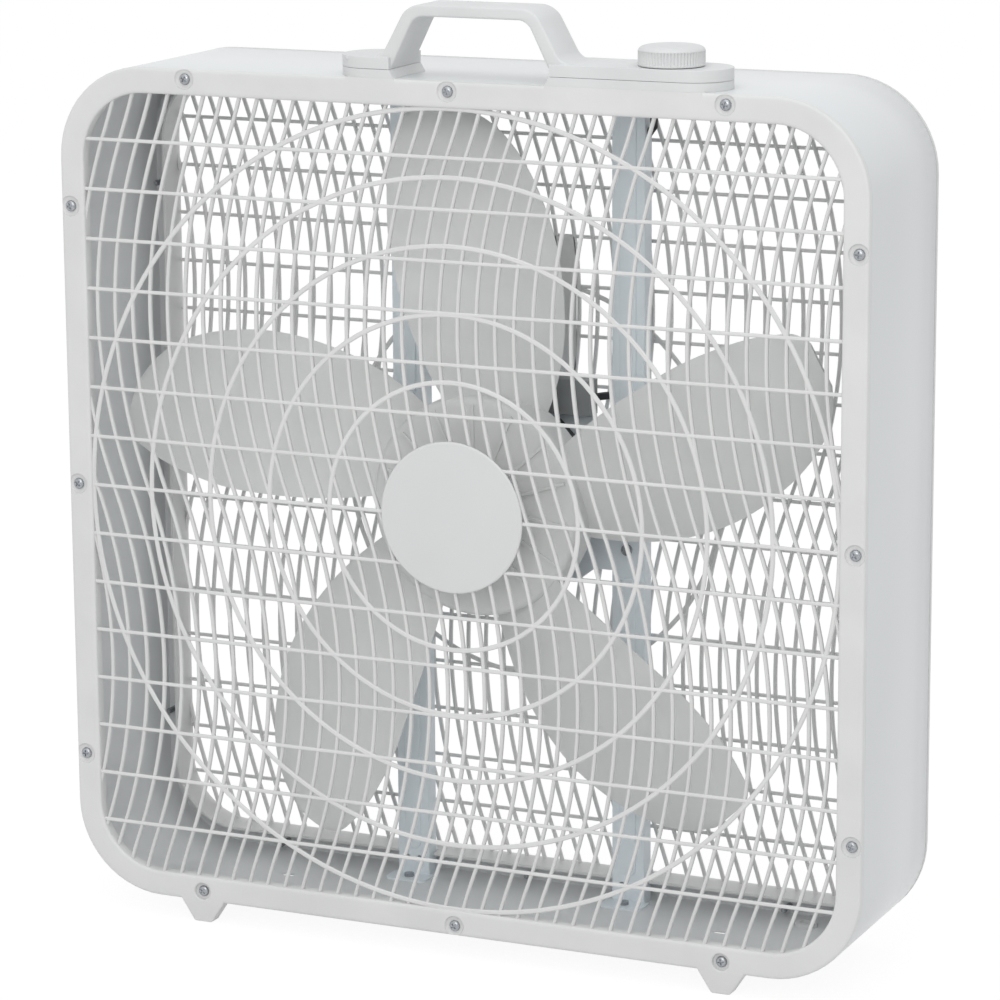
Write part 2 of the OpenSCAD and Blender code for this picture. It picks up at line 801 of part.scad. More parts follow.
// Plate across both struts, with a cut-away waist and a hole for the rear bearing
module motor_bracket() {
  reach = strut_x + strut_w / 2;
  waist = bracket_h / 2;
  color("#bcc8d2") place() difference() {
    slab(bracket_y, strut_t) polygon([
      [-reach, -waist], [-strut_x + strut_w, -waist], [-stator_w / 2 + 8, -waist - 10],
      [stator_w / 2 - 8, -waist - 10], [strut_x - strut_w, -waist], [reach, -waist],
      [reach, waist], [strut_x - strut_w, waist], [stator_w / 2 - 8, waist + 18],
      [-stator_w / 2 + 8, waist + 18], [-strut_x + strut_w, waist], [-reach, waist]
    ]);
    rod(0, 0, bracket_y - 1, 4, bearing_d + 2 * bearing_cup_t + 1);
    for (p = bolt_points)
      rod(p[0], p[1], bracket_y - 1, 4, bolt_d + 0.4);
    for (s = [-1, 1], e = [-1, 1])
      rod(s * strut_x, e * bracket_screw_z, bracket_y - 1, 4, screw_d);
    for (s = [-1, 1])
      slab(bracket_y - 1, 4) translate([s * (stator_w / 2 + 4), 0]) rounded_rect(8, 34, 3.9);
  }
}

// ---- Motor ----

module stator_outline() {
  w = stator_w / 2;
  c = flare;
  polygon([
    [-w, -w + c], [-w + c, -w], [w - c, -w], [w, -w + c],
    [w, w - c], [w - c, w], [-w + c, w], [-w, w - c]
  ]);
}

module stator_core() {
  color("#6d6f72") place() difference() {
    slab(stator_y, stator_t) stator_outline();
    rod(0, 0, stator_y - 1, stator_t + 2, stator_bore_d);
    for (a = [0:3])
      rotate([0, 45 + 90 * a, 0]) translate([winding_r, stator_y - 1, 0])
        rotate([-90, 0, 0]) cylinder(h = stator_t + 2, d = 11);
    for (p = bolt_points)
      rod(p[0], p[1], stator_y - 1, stator_t + 2, bolt_d + 0.4);
  }
}

// End turns of the coils, before and behind the stack
module stator_windings() {
  color("#a8683a") place() {
    for (y = [stator_y - winding_h, stator_back])
      difference() {
        rod(0, 0, y, y < stator_y ? winding_h : winding_back_h, 2 * winding_r + 7);
        rod(0, 0, y - 1, winding_h + 2, stator_bore_d + 2);
      }
    for (a = [0:3])
      rotate([0, 45 + 90 * a, 0]) translate([winding_r, stator_y - overlap, 0])
        rotate([-90, 0, 0]) cylinder(h = stator_t + 2 * overlap, d = 6.4);
  }
}

module shell_bolts_cut(y, h) {
  for (p = bolt_points)
    rod(p[0], p[1], y - 1, h + 2, bolt_d + 0.4);
}

// Ear plate that the through bolts clamp
module shell_ears(y, t) {
  slab(y, t) for (a = [0:1])
    rotate(45 + 90 * a) square([2.4 * bolt_reach + 9, 13], center = true);
}

module motor_front_shell() {
  color("#8f9296") place() difference() {
    union() {
      rod(0, 0, shell_y, front_shell_h, shell_d);
      shell_ears(stator_y - 2, 2);
    }
    difference() {
      rod(0, 0, shell_y + shell_wall, front_shell_h, shell_d - 2 * shell_wall);
      rod(0, 0, shell_y, bearing_l + 1.4, bearing_d + 2 * bearing_cup_t);
    }
    rod(0, 0, front_bearing_y, bearing_l + 2, bearing_d);
    rod(0, 0, shell_y - 1, 4, shaft_d + 3);
    for (a = [0:7])
      rotate([0, 22.5 + 45 * a, 0]) slab(shell_y - 1, 4) translate([22, 0]) rounded_rect(12, 6, 2.9);
    shell_bolts_cut(stator_y - 2, 2);
  }
}

module motor_rear_shell() {
  depth = shell_back - stator_back;
  color("#8f9296") place() difference() {
    union() {
      rod(0, 0, stator_back, depth, shell_d);
      rod(0, 0, shell_back - overlap, 3.5 + overlap, bearing_d + 2 * bearing_cup_t);
      shell_ears(stator_back, depth);
    }
    rod(0, 0, stator_back - 1, depth - shell_wall + 1, shell_d - 2 * shell_wall);
    rod(0, 0, rear_bearing_y, bearing_l, bearing_d);
    rod(0, 0, rear_bearing_y, bearing_l + 3, shaft_d + 3);
    shell_bolts_cut(stator_back, depth);
  }
}

module bearing(y) {
  difference() {
    rod(0, 0, y, bearing_l, bearing_d);
    rod(0, 0, y - 1, bearing_l + 2, shaft_d + 2 * run_clear);
  }
}

module front_bearing() { color("#b08d57") place() bearing(front_bearing_y); }
module rear_bearing() { color("#b08d57") place() bearing(rear_bearing_y); }

module rotor_core() {
  y = stator_y + stator_t / 2 - rotor_t / 2;
  color("#9a9da1") place() difference() {
    rod(0, 0, y, rotor_t, 2 * rotor_r);
    rod(0, 0, y - 1, rotor_t + 2, shaft_d);
  }
}

module motor_shaft() {
  color("#b9bcc0") place() rod(0, 0, shaft_front, shaft_back - shaft_front, shaft_d);
}

// Washers between the rotor and each bearing
module thrust_washers() {
  front = front_bearing_y + bearing_l + fit;
  back = rear_bearing_y - fit - washer_t;
  color("#8a6f4d") place()
    for (y = [front, back])
      difference() {
        rod(0, 0, y, washer_t, 2 * washer_r);
        rod(0, 0, y - 1, washer_t + 2, shaft_d);
      }
}

module motor_bolts() {
  color("#aeb2b6") place()
    for (p = bolt_points) {
      rod(p[0], p[1], bolt_front + 2.8, bolt_back - bolt_front - 2.8, bolt_d);
      rod(p[0], p[1], bolt_front, 3, 7);
      translate([p[0], bracket_y + strut_t + 3.2, p[1]]) rotate([90, 0, 0])
        cylinder(h = 3.2, d = 7.6, $fn = 6);
    }
}

// ---- Impeller ----

// Thin at the edges and full in the middle
function blade_half(s) = blade_t / 2 * (0.3 + 0.7 * sqrt(sin(180 * s)));

function blade_point(row, s, face) =
  let (
    r = blade_root + (tip_r - blade_root) * row[0],
    turn = row[2] + (row[1] - row[2]) * s,
    depth = hub_depth * (row[4] + (row[3] - row[4]) * s) - blade_bow * sin(180 * s) * (1 - row[0] / 2)
  )
  [-r * sin(turn), hub_y + depth + face * blade_half(s), r * cos(turn)];

module blade() {
  rows = len(blade_stations);
  cols = chord_steps + 1;
  points = [
    for (face = [-1, 1], row = blade_stations, j = [0:chord_steps])
      blade_point(row, j / chord_steps, face)
  ];
  back = rows * cols;
  skins = [
    for (i = [0:rows - 2], j = [0:chord_steps - 1])
      let (a = i * cols + j, b = a + 1, c = a + cols, d = c + 1)
        each [[a, d, c], [a, b, d], [back + a, back + c, back + d], [back + a, back + d, back + b]]
  ];
  edges = [
    for (i = [0:rows - 2], e = [0, chord_steps])
      let (a = i * cols + e, c = a + cols)
        each e == 0
          ? [[a, c, back + c], [a, back + c, back + a]]
          : [[a, back + c, c], [a, back + a, back + c]]
  ];
  ends = [
    for (j = [0:chord_steps - 1], e = [0, rows - 1])
      let (a = e * cols + j, b = a + 1)
        each e == 0
          ? [[a, back + b, b], [a, back + a, back + b]]
          : [[a, b, back + b], [a, back + b, back + a]]
  ];
  polyhedron(points, concat(skins, edges, ends));
}

module impeller() {
  color("#bcbebd") place() {
    difference() {
      union() {
        difference() {
          rod(0, 0, hub_y, hub_depth, 2 * hub_r);
          rod(0, 0, hub_y + hub_wall, hub_depth, 2 * (hub_r - hub_wall));
        }
        rod(0, 0, hub_y, boss_back - hub_y, 2 * boss_r);
        slab(hub_y - 1.5, 1.5 + overlap) difference() {
          union() {
            for (k = [0:hub_ribs - 1])
              rotate(k * 360 / hub_ribs) translate([boss_r + 2, -1]) square([hub_r - boss_r - 6, 2]);
            circle(boss_r + 4);
          }
          circle(boss_r - 2);
        }
      }
      rod(0, 0, hub_y - 4, boss_back - hub_y + 6, shaft_d);
    }
    for (k = [0:blade_count - 1])
      rotate([0, k * 360 / blade_count, 0]) blade();
  }
}

module impeller_nut() {
  color("#c9cacb") place() difference() {
    union() {
      rod(0, 0, hub_y - 7, 7, shaft_d + 7);
      translate([0, hub_y - 2.5, 0]) rotate([90, 0, 0]) cylinder(h = 4, d = shaft_d + 10, $fn = 6);
    }
    rod(0, 0, hub_y - 10, 12, shaft_d);
  }
}

// ---- Gland and screws ----

module cord_gland() {
  color("#303033") place() translate([gland_x, gland_y, -case_h / 2]) difference() {
    union() {
      translate([0, 0, -2.5]) cylinder(h = 2.5, d = gland_d);
      translate([0, 0, -overlap]) cylinder(h = sheet_t + overlap, d = gland_d - 3);
      translate([0, 0, sheet_t]) cylinder(h = 3, d = gland_d);
    }
    translate([0, 0, -4]) cylinder(h = 10, d = 7);
  }
}

// Pan-head screw with a cross recess; its head lies at y
module grille_screw(p, y) {
  difference() {
    union() {
      rod(p[0], p[1], y, screw_head_h - 0.8, screw_head_d - 1.6);
      rod(p[0], p[1], y + 0.8, screw_head_h - 0.8, screw_head_d);
      rod(p[0], p[1], y + screw_head_h - overlap, screw_len + overlap, screw_d);
    }
    translate([p[0], y, p[1]])
      for (a = [45, 135])
        rotate([0, a, 0]) cube([3.6, 2, 0.9], center = true);
  }
}

module grille_screws() {
  for (p = plain_points)
    grille_screw(p, dimple_depth - screw_head_h);
  for (p = foot_points)
    grille_screw(p, foot_hole_depth - screw_head_h);
}

module front_grille_screws() { color("#b4b6b8") place() grille_screws(); }
module rear_grille_screws() { color("#b4b6b8") place() at_rear() grille_screws(); }

module strut_screws() {
  color("#b4b6b8") place()
    for (s = [-1, 1], e = [-1, 1])
      translate([s * strut_x, strut_screw_y, e * inner_top]) mirror([0, 0, e > 0 ? 0 : 1]) {
        translate([0, 0, -strut_t - 2]) cylinder(h = 2, d = 6.4);
        translate([0, 0, -strut_t - 1]) cylinder(h = strut_t + 1 + sheet_t, d = screw_d);
      }
}

module bracket_screws() {
  color("#b4b6b8") place()
    for (s = [-1, 1], e = [-1, 1]) {
      rod(s * strut_x, e * bracket_screw_z, bracket_y - 2, 2, 7);
      rod(s * strut_x, e * bracket_screw_z, bracket_y - 1, 6, screw_d);
    }
}

module handle_screws() {
  color("#b4b6b8") place()
    for (x = handle_screw_x)
      translate([x, handle_screw_y, inner_top]) {
        translate([0, 0, -1.8]) cylinder(h = 1.8, d = 5.6);
        translate([0, 0, -1]) cylinder(h = sheet_t + base_h + cover_h - 3, d = handle_screw_d);
      }
}

cabinet_band();
front_grille();
rear_grille();
rear_collar();
rear_collar_corners();
front_feet();
rear_feet();
front_medallion();
control_base();
handle_cover();
speed_knob();
switch_body();
switch_spindle();
switch_nut();
switch_leads();
strut_left();
strut_right();
motor_bracket();
motor_front_shell();
motor_rear_shell();
stator_core();
stator_windings();
rotor_core();
motor_shaft();
front_bearing();
rear_bearing();
thrust_washers();
motor_bolts();
lead_joint_cover();
impeller();
impeller_nut();
cord_gland();
front_grille_screws();
rear_grille_screws();
strut_screws();
bracket_screws();
handle_screws();
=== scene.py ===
"""A 20 inch box fan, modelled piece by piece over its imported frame.

Lengths inside the operators are millimetres from the middle of the front face: x to the
right, y back into the fan and z up. finish_piece() turns them to metres and stands the
piece in the frame.
"""

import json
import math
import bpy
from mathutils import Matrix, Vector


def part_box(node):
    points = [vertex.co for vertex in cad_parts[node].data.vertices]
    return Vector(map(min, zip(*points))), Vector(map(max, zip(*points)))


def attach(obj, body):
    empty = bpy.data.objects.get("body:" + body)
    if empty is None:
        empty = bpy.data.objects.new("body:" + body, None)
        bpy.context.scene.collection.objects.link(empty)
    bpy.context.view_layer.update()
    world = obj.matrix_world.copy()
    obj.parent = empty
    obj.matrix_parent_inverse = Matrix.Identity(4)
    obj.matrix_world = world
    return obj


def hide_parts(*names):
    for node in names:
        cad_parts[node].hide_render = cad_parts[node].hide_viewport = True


bl_info = {
    "name": "Box Fan",
    "version": (1, 0, 0),
    "blender": (4, 5, 0),
    "location": "3D View > Sidebar > Box Fan",
    "description": "Models a box fan with moulded grilles, a steel cabinet and a bladed impeller",
    "category": "Add Mesh",
}

import bmesh
import bpy
from bpy.props import FloatProperty, FloatVectorProperty, IntProperty, PointerProperty
from mathutils import Matrix, Vector

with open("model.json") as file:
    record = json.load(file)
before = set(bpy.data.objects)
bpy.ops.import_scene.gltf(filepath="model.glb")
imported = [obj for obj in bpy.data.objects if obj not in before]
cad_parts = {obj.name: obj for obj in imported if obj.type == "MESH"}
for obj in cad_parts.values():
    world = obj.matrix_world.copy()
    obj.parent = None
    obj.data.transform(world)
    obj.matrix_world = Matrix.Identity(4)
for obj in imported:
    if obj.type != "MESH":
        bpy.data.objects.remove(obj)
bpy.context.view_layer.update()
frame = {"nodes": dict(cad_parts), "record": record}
MM = 0.001
BAND_LOW, BAND_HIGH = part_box("cabinet_band")
GRILLE_LOW, GRILLE_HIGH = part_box("front_grille")
BACK_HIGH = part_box("rear_grille")[1]
# Middle of the front face, where every piece is measured from
MIDDLE = Vector((0, GRILLE_LOW.y, (BAND_LOW.z + BAND_HIGH.z) / 2))
DEPTH = (BACK_HIGH.y - GRILLE_LOW.y) / MM
# Places that several pieces share, in millimetres
SCREW_SPREAD = 176.5  # from the middle to a side's outer screws and to the feet
SCREW_INSET = 6.2  # from the cabinet's edge to a screw
BORDER_T = 4.0
LIP_T = 2.0
STRUT_X = 75.0
HANDLE_X, HANDLE_GAP = 14.0, 52.0  # middle of the handle, and half the gap under it


def place_of(node):
    """Lowest and highest corner of a CAD node, in millimetres from the front's middle."""
    return [(corner - MIDDLE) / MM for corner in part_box(node)]


# ---- Colours and materials ----


def linear(hex_colour):
    """Turns an sRGB hex colour to linear red, green and blue."""
    parts = [int(hex_colour[i : i + 2], 16) / 255 for i in (1, 3, 5)]
    return [c / 12.92 if c <= 0.04045 else ((c + 0.055) / 1.055) ** 2.4 for c in parts]


def add_node(tree, kind, settings=None, links=None):
    """Adds a shader node with its settings or socket values, and links from other sockets."""
    node = tree.nodes.new(kind)
    for key, value in (settings or {}).items():
        if isinstance(key, str) and hasattr(node, key):
            setattr(node, key, value)
        else:
            node.inputs[key].default_value = value
    for key, source in (links or {}).items():
        tree.links.new(source, node.inputs[key])
    return node


def start_material(name):
    """A new material with an empty tree; gives the material, its tree and its coordinates."""
    material = bpy.data.materials.new(name)
    material.use_nodes = True
    tree = material.node_tree
    tree.nodes.clear()
    place = add_node(tree, "ShaderNodeTexCoord").outputs["Object"]
    return material, tree, place


def band_scale(pitch_mm):
    """Scale of a wave texture whose bands repeat at this pitch."""
    return math.pi / (10 * pitch_mm * MM)


def shade(colour, factor):
    """A linear colour made lighter or darker, with its alpha."""
    return [min(1, c * factor) for c in colour[:3]] + [1]


def noise(tree, place, size_mm, detail):
    """Noise whose grains are about this many millimetres across."""
    settings = {"Scale": 1 / (size_mm * MM), "Detail": detail}
    return add_node(tree, "ShaderNodeTexNoise", settings, {"Vector": place}).outputs["Fac"]


def tone(tree, source, stops):
    """A colour that follows the source between two stops of a position and a colour."""
    ramp = add_node(tree, "ShaderNodeValToRGB", links={"Fac": source})
    for k, (position, colour) in enumerate(stops):
        ramp.color_ramp.elements[k].position = position
        ramp.color_ramp.elements[k].color = colour
    return ramp.outputs["Color"]


def uneven(tree, source, low, high):
    """A roughness that follows the source between two values."""
    limits = {"From Min": 0.3, "From Max": 0.7, "To Min": low, "To Max": high}
    return add_node(tree, "ShaderNodeMapRange", limits, {"Value": source}).outputs["Result"]


def relief(tree, height, strength, depth_mm, over=None):
    """A bump of this depth, laid over another where one is given."""
    links = {"Height": height}
    if over is not None:
        links["Normal"] = over
    settings = {"Strength": strength, "Distance": depth_mm * MM}
    return add_node(tree, "ShaderNodeBump", settings, links).outputs["Normal"]


def finish_material(material, tree, colour, settings, links):
    """Adds the surface and the output."""
    settings = {"Base Color": shade(colour, 1), **settings}
    surface = add_node(tree, "ShaderNodeBsdfPrincipled", settings, links)
    add_node(tree, "ShaderNodeOutputMaterial", links={"Surface": surface.outputs["BSDF"]})
    material.diffuse_color = shade(colour, 1)
    return material


def moulded_plastic(name, colour, roughness, texture_mm, depth_mm, mottle=0.03, sheen_mm=9.0):
    """Injection-moulded plastic: a fine spark-eroded texture from the tool breaks up the
    gloss, and the melt leaves faint cloudy flow marks in the colour."""
    material, tree, place = start_material(name)
    clouds = noise(tree, place, sheen_mm * 4, 3.0)
    flow = noise(tree, place, sheen_mm, 2.0)
    pits = noise(tree, place, texture_mm, 2.0)
    stops = [(0.3, shade(colour, 1 - mottle)), (0.7, shade(colour, 1 + mottle))]
    links = {
        "Base Color": tone(tree, clouds, stops),
        "Roughness": uneven(tree, flow, roughness - 0.05, roughness + 0.05),
        "Normal": relief(tree, pits, 0.6, depth_mm),
    }
    return finish_material(material, tree, colour, {"IOR": 1.5}, links)


def baked_enamel(name, colour, roughness, wave_mm, depth_mm):
    """Baked enamel on sheet steel: the sprayed coat pulls into low orange-peel waves, which
    soften the reflections, and stays a shade thinner here and there."""
    material, tree, place = start_material(name)
    peel = noise(tree, place, wave_mm, 1.0)
    oil_can = noise(tree, place, 140, 1.0)
    sheet = relief(tree, oil_can, 0.5, 0.8)
    links = {
        "Base Color": tone(tree, oil_can, [(0.3, shade(colour, 0.98)), (0.7, shade(colour, 1.02))]),
        "Normal": relief(tree, peel, 0.5, depth_mm, over=sheet),
    }
    settings = {"Roughness": roughness, "IOR": 1.5, "Coat Weight": 0.15}
    return finish_material(material, tree, colour, settings, links)


def worked_metal(name, colour, roughness, grain_mm, depth_mm, stretch=(1, 1, 1), spread=0.25):
    """Bare or plated metal: grinding or tumbling leaves fine marks, drawn out along one way
    where stretch says so, that vary the gloss and the tone."""
    material, tree, place = start_material(name)
    drawn = add_node(
        tree, "ShaderNodeMapping", {"vector_type": "TEXTURE", "Scale": stretch}, {"Vector": place}
    )
    marks = noise(tree, drawn.outputs["Vector"], grain_mm, 4.0)
    stops = [(0.35, shade(colour, 1 - spread)), (0.65, shade(colour, 1 + spread / 2))]
    links = {
        "Base Color": tone(tree, marks, stops),
        "Roughness": uneven(tree, marks, roughness - 0.08, roughness + 0.12),
        "Normal": relief(tree, marks, 0.5, depth_mm),
    }
    return finish_material(material, tree, colour, {"Metallic": 1.0}, links)


def banded_metal(name, light, dark, pitch_mm, depth_mm, roughness, direction="Y"):
    """Metal in thin layers or wound wire: each sheet or turn catches the light along its
    middle and goes dark in the seam to the next."""
    material, tree, place = start_material(name)
    layers = add_node(
        tree,
        "ShaderNodeTexWave",
        {"bands_direction": direction, "Scale": band_scale(pitch_mm), "Distortion": 0.4},
        {"Vector": place},
    ).outputs["Fac"]
    links = {
        "Base Color": tone(tree, layers, [(0.1, shade(dark, 1)), (0.55, shade(light, 1))]),
        "Normal": relief(tree, layers, 0.7, depth_mm),
    }
    settings = {"Metallic": 1.0, "Roughness": roughness}
    return finish_material(material, tree, light, settings, links)


def make_materials(colours):
    """Every finish of the fan, by the name of the slot it belongs to."""
    return {
        # Baked enamel on the rolled cabinet: a cool, smooth satin
        "cabinet_paint": baked_enamel("Baked enamel steel", colours.cabinet, 0.34, 1.6, 0.012),
        # The same coat on the struts, a shade bluer and thinner
        "strut_paint": baked_enamel("Baked enamel struts", colours.struts, 0.42, 1.4, 0.02),
        # High-impact polystyrene, spark-textured: soft, even, slightly warm grey-white
        "grille_plastic": moulded_plastic("Moulded polystyrene", colours.grille, 0.42, 0.5, 0.03),
        # The disc is polished in the tool, so it is smoother than the grille
        "medallion_plastic": moulded_plastic(
            "Moulded disc polystyrene", colours.medallion, 0.33, 0.4, 0.01, mottle=0.01
        ),
        "housing_plastic": moulded_plastic(
            "Moulded housing polystyrene", colours.housing, 0.5, 0.5, 0.02
        ),
        "knob_plastic": moulded_plastic("Moulded knob ABS", colours.knob, 0.48, 0.4, 0.02),
        # Polypropylene: waxy, a little darker, with visible flow from the hub
        "impeller_plastic": moulded_plastic(
            "Moulded polypropylene", colours.impeller, 0.45, 0.6, 0.04, mottle=0.04, sheen_mm=22
        ),
        # Drawn steel of the motor shells, with the press's long marks
        "shell_steel": worked_metal(
            "Drawn shell steel", linear("#8A8D90"), 0.42, 0.9, 0.03, stretch=(1, 6, 1)
        ),
        # Punched laminations of 0.5 mm, drawn at 1 mm so that they show
        "lamination_steel": banded_metal(
            "Stacked laminations", linear("#77797B"), linear("#3A3B3D"), 1.0, 0.25, 0.45
        ),
        # Enamelled wire of 0.6 mm, drawn at 1.1 mm so that it shows
        "coil_copper": banded_metal(
            "Enamelled copper wire", linear("#A5622F"), linear("#4A2412"), 1.1, 0.35, 0.3, "DIAGONAL"
        ),
        "shaft_steel": worked_metal(
            "Ground shaft steel", linear("#B4B6B9"), 0.22, 0.25, 0.01, stretch=(1, 0.2, 1)
        ),
        # Sintered bronze, full of oil-filled pores
        "bearing_bronze": worked_metal("Sintered bronze", linear("#A9855A"), 0.4, 0.35, 0.05),
        # Bright zinc plate on tumbled screws
        "screw_steel": worked_metal("Zinc-plated steel", linear("#A9ACB0"), 0.3, 0.5, 0.02),
        "black_plastic": moulded_plastic(
            "Moulded black phenolic", linear("#96999A"), 0.5, 0.5, 0.04, mottle=0.1
        ),
        "lead_rubber": moulded_plastic(
            "Extruded lead insulation", linear("#242528"), 0.5, 0.8, 0.04, mottle=0.1
        ),
    }


# ---- Mesh helpers ----


def closed_loop(bm, points):
    """A closed loop of edges through the points; gives its vertices and edges."""
    verts = [bm.verts.new(p) for p in points]
    return verts + [bm.edges.new(pair) for pair in zip(verts, verts[1:] + verts[:1])]


def open_chain(bm, points):
    verts = [bm.verts.new(p) for p in points]
    return verts + [bm.edges.new(pair) for pair in zip(verts, verts[1:])]


def outline_face(bm, points):
    """One flat face through the points."""
    return bm.faces.new([bm.verts.new(p) for p in points])


def verts_of(geometry):
    return [g for g in geometry if isinstance(g, bmesh.types.BMVert)]


def edges_of(geometry):
    return [g for g in geometry if isinstance(g, bmesh.types.BMEdge)]


def far_end(geometry):
    """The vertices of an extrusion's new end with the edges between them."""
    verts = set(verts_of(geometry))
    return list(verts) + [e for e in edges_of(geometry) if set(e.verts) <= verts]


def pull(bm, section, way):
    """Pulls a section's edges straight along a way and gives back its far end."""
    far = far_end(bmesh.ops.extrude_edge_only(bm, edges=edges_of(section))["geom"])
    bmesh.ops.translate(bm, verts=verts_of(far), vec=way)
    return far


def swing(bm, section, centre, axis, angle, steps):
    """Spins a section part of the way round an axis and gives back its far end."""
    spun = bmesh.ops.spin(
        bm, geom=section, cent=centre, axis=axis, angle=angle, steps=steps, dvec=(0, 0, 0)
    )
    return far_end(spun["geom_last"])


def seal(bm, merge=0.004):
    """Merges doubles and turns the faces outwards."""
    bmesh.ops.remove_doubles(bm, verts=bm.verts[:], dist=merge)
    bmesh.ops.recalc_face_normals(bm, faces=bm.faces[:])
    return bm


def turned(profile, steps, centre=(0, 0, 0), axis="Y", closed=False):
    """A turned shape: the profile is (radius, distance along the axis) points. It is spun
    right round the axis through the centre."""
    bm = bmesh.new()
    if axis == "Y":
        points = [(centre[0] + r, centre[1] + a, centre[2]) for r, a in profile]
        way = (0, 1, 0)
    else:
        points = [(centre[0] + r, centre[1], centre[2] + a) for r, a in profile]
        way = (0, 0, 1)
    section = closed_loop(bm, points) if closed else open_chain(bm, points)
    bmesh.ops.spin(
        bm, geom=section, cent=centre, axis=way, angle=math.tau, steps=steps, use_merge=True
    )
    return seal(bm)


def round_corners_of(bm, verts, offset, steps):
    """Rounds corners of a flat outline, from this far along both edges."""
    bmesh.ops.bevel(
        bm,
        geom=verts,
        offset=offset,
        offset_type="OFFSET",
        segments=steps,
        profile=0.5,
        affect="VERTICES",
        material=-1,
    )


def thicken(bm, way):
    """Thickens a flat outline along a way and gives back the vertices of the new side."""
    made = verts_of(bmesh.ops.extrude_face_region(bm, geom=bm.faces[:])["geom"])
    bmesh.ops.translate(bm, verts=made, vec=way)
    return made


def block(low, high):
    """A box between two corners, for cutting and joining."""
    bm = bmesh.new()
    bmesh.ops.create_cube(bm, size=1)
    size = Vector(high) - Vector(low)
    bmesh.ops.scale(bm, verts=bm.verts[:], vec=size)
    bmesh.ops.translate(bm, verts=bm.verts[:], vec=(Vector(low) + Vector(high)) / 2)
    return bm


def oblong(x, half_width, low, high):
    """The corners of an upright oblong in x and z, anticlockwise from its foot."""
    return [(x - half_width, low), (x + half_width, low), (x + half_width, high), (x - half_width, high)]


def slab(points, y, depth, round_corners=None, ease=0.0, ease_steps=3):
    """An outline in x and z, thickened from y over a depth. round_corners gives a radius for
    each corner, or 0, and ease rounds the edges of both faces."""
    bm = bmesh.new()
    face = outline_face(bm, [(x, y, z) for x, z in points])
    for vert, radius in zip(list(face.verts), round_corners or []):
        if radius:
            before, after = [(e.other_vert(vert).co - vert.co).normalized() for e in vert.link_edges]
            half = before.angle(after) / 2
            steps = max(4, int(math.degrees(math.pi - 2 * half) / 7))
            round_corners_of(bm, [vert], radius / math.tan(half), steps)
    thicken(bm, (0, depth, 0))
    seal(bm)
    if ease:
        rims = [e for e in bm.edges if abs(e.verts[0].co.y - e.verts[1].co.y) < 1e-4]
        ease_edges(bm, rims, ease, ease_steps)
    return bm


def ease_edges(bm, edges, width, steps=2):
    bmesh.ops.bevel(
        bm,
        geom=edges,
        offset=width,
        offset_type="OFFSET",
        segments=steps,
        profile=0.5,
        affect="EDGES",
        material=-1,
        clamp_overlap=True,
    )


def absorb(bm, *others):
    """Adds other shapes' meshes to bm and frees them."""
    for other in others:
        mesh = bpy.data.meshes.new("absorbed")
        other.to_mesh(mesh)
        other.free()
        bm.from_mesh(mesh)
        bpy.data.meshes.remove(mesh)
    return bm


def turn_to_rear(bm):
    """Turns a front piece round to the back of the fan."""
    bm.transform(Matrix.Translation((0, DEPTH, 0)) @ Matrix.Rotation(math.pi, 4, "Z"))
    return bm


def combine(bm, other, how):
    """Joins or cuts one closed shape with another and gives back the result."""
    stock = []
    for shape in (bm, other):
        mesh = bpy.data.meshes.new("stock")
        shape.to_mesh(mesh)
        shape.free()
        stock.append(bpy.data.objects.new("stock", mesh))
        bpy.context.scene.collection.objects.link(stock[-1])
    cutter = stock[0].modifiers.new("Combine", "BOOLEAN")
    cutter.operation = how
    cutter.solver = "EXACT"
    cutter.object = stock[1]
    result = bmesh.new()
    graph = bpy.context.evaluated_depsgraph_get()
    result.from_mesh(stock[0].evaluated_get(graph).to_mesh())
    for ob in stock:
        mesh = ob.data
        bpy.data.objects.remove(ob)
        bpy.data.meshes.remove(mesh)
    return seal(result, 0.002)


def finish_piece(name, bm, body, slot, replaced=(), ease=0.0, ease_steps=2, sharp=38):
    """Stands a modelled piece in the frame, smooths it, gives it its finish and its body."""
    bm.transform(Matrix.Translation(MIDDLE) @ Matrix.Scale(MM, 4))
    mesh = bpy.data.meshes.new(name)
    bm.to_mesh(mesh)
    bm.free()
    mesh.shade_smooth()
    mesh.set_sharp_from_angle(angle=math.radians(sharp))
    piece = bpy.data.objects.new(name, mesh)
    bpy.context.scene.collection.objects.link(piece)
    piece.data.materials.append(FINISHES[slot])
    if ease:
        rounding = piece.modifiers.new("Eased edges", "BEVEL")
        rounding.width = ease * MM
        rounding.segments = ease_steps
        rounding.limit_method = "ANGLE"
        rounding.angle_limit = math.radians(sharp)
        rounding.harden_normals = True
        rounding.miter_outer = "MITER_ARC"
    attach(piece, body)
    if replaced:
        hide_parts(*replaced)
    return piece


FINISHES = {}


# ---- Settings ----


def length(name, description, default, low, high):
    """A length in metres."""
    return FloatProperty(
        name=name, description=description, default=default, min=low, max=high, unit="LENGTH"
    )


def tint(name, description, hex_colour):
    """A colour setting, given in sRGB."""
    return FloatVectorProperty(
        name=name,
        description=description,
        subtype="COLOR",
        min=0,
        max=1,
        default=linear(hex_colour),
    )


class FanCabinetSettings(bpy.types.PropertyGroup):
    width: length("Width", "Width of the steel cabinet", BAND_HIGH.x - BAND_LOW.x, 0.4, 0.7)
    height: length("Height", "Height of the steel cabinet", BAND_HIGH.z - BAND_LOW.z, 0.4, 0.7)
    corner_radius: length(
        "Corner radius", "Outer radius of the cabinet's corners", 0.058, 0.05, 0.075
    )
    sheet: length("Sheet", "Thickness of the sheet steel", 0.001, 0.0008, 0.0014)
    flange: length(
        "Flange", "Width of the flange turned in along each open side", 0.012, 0.011, 0.013
    )


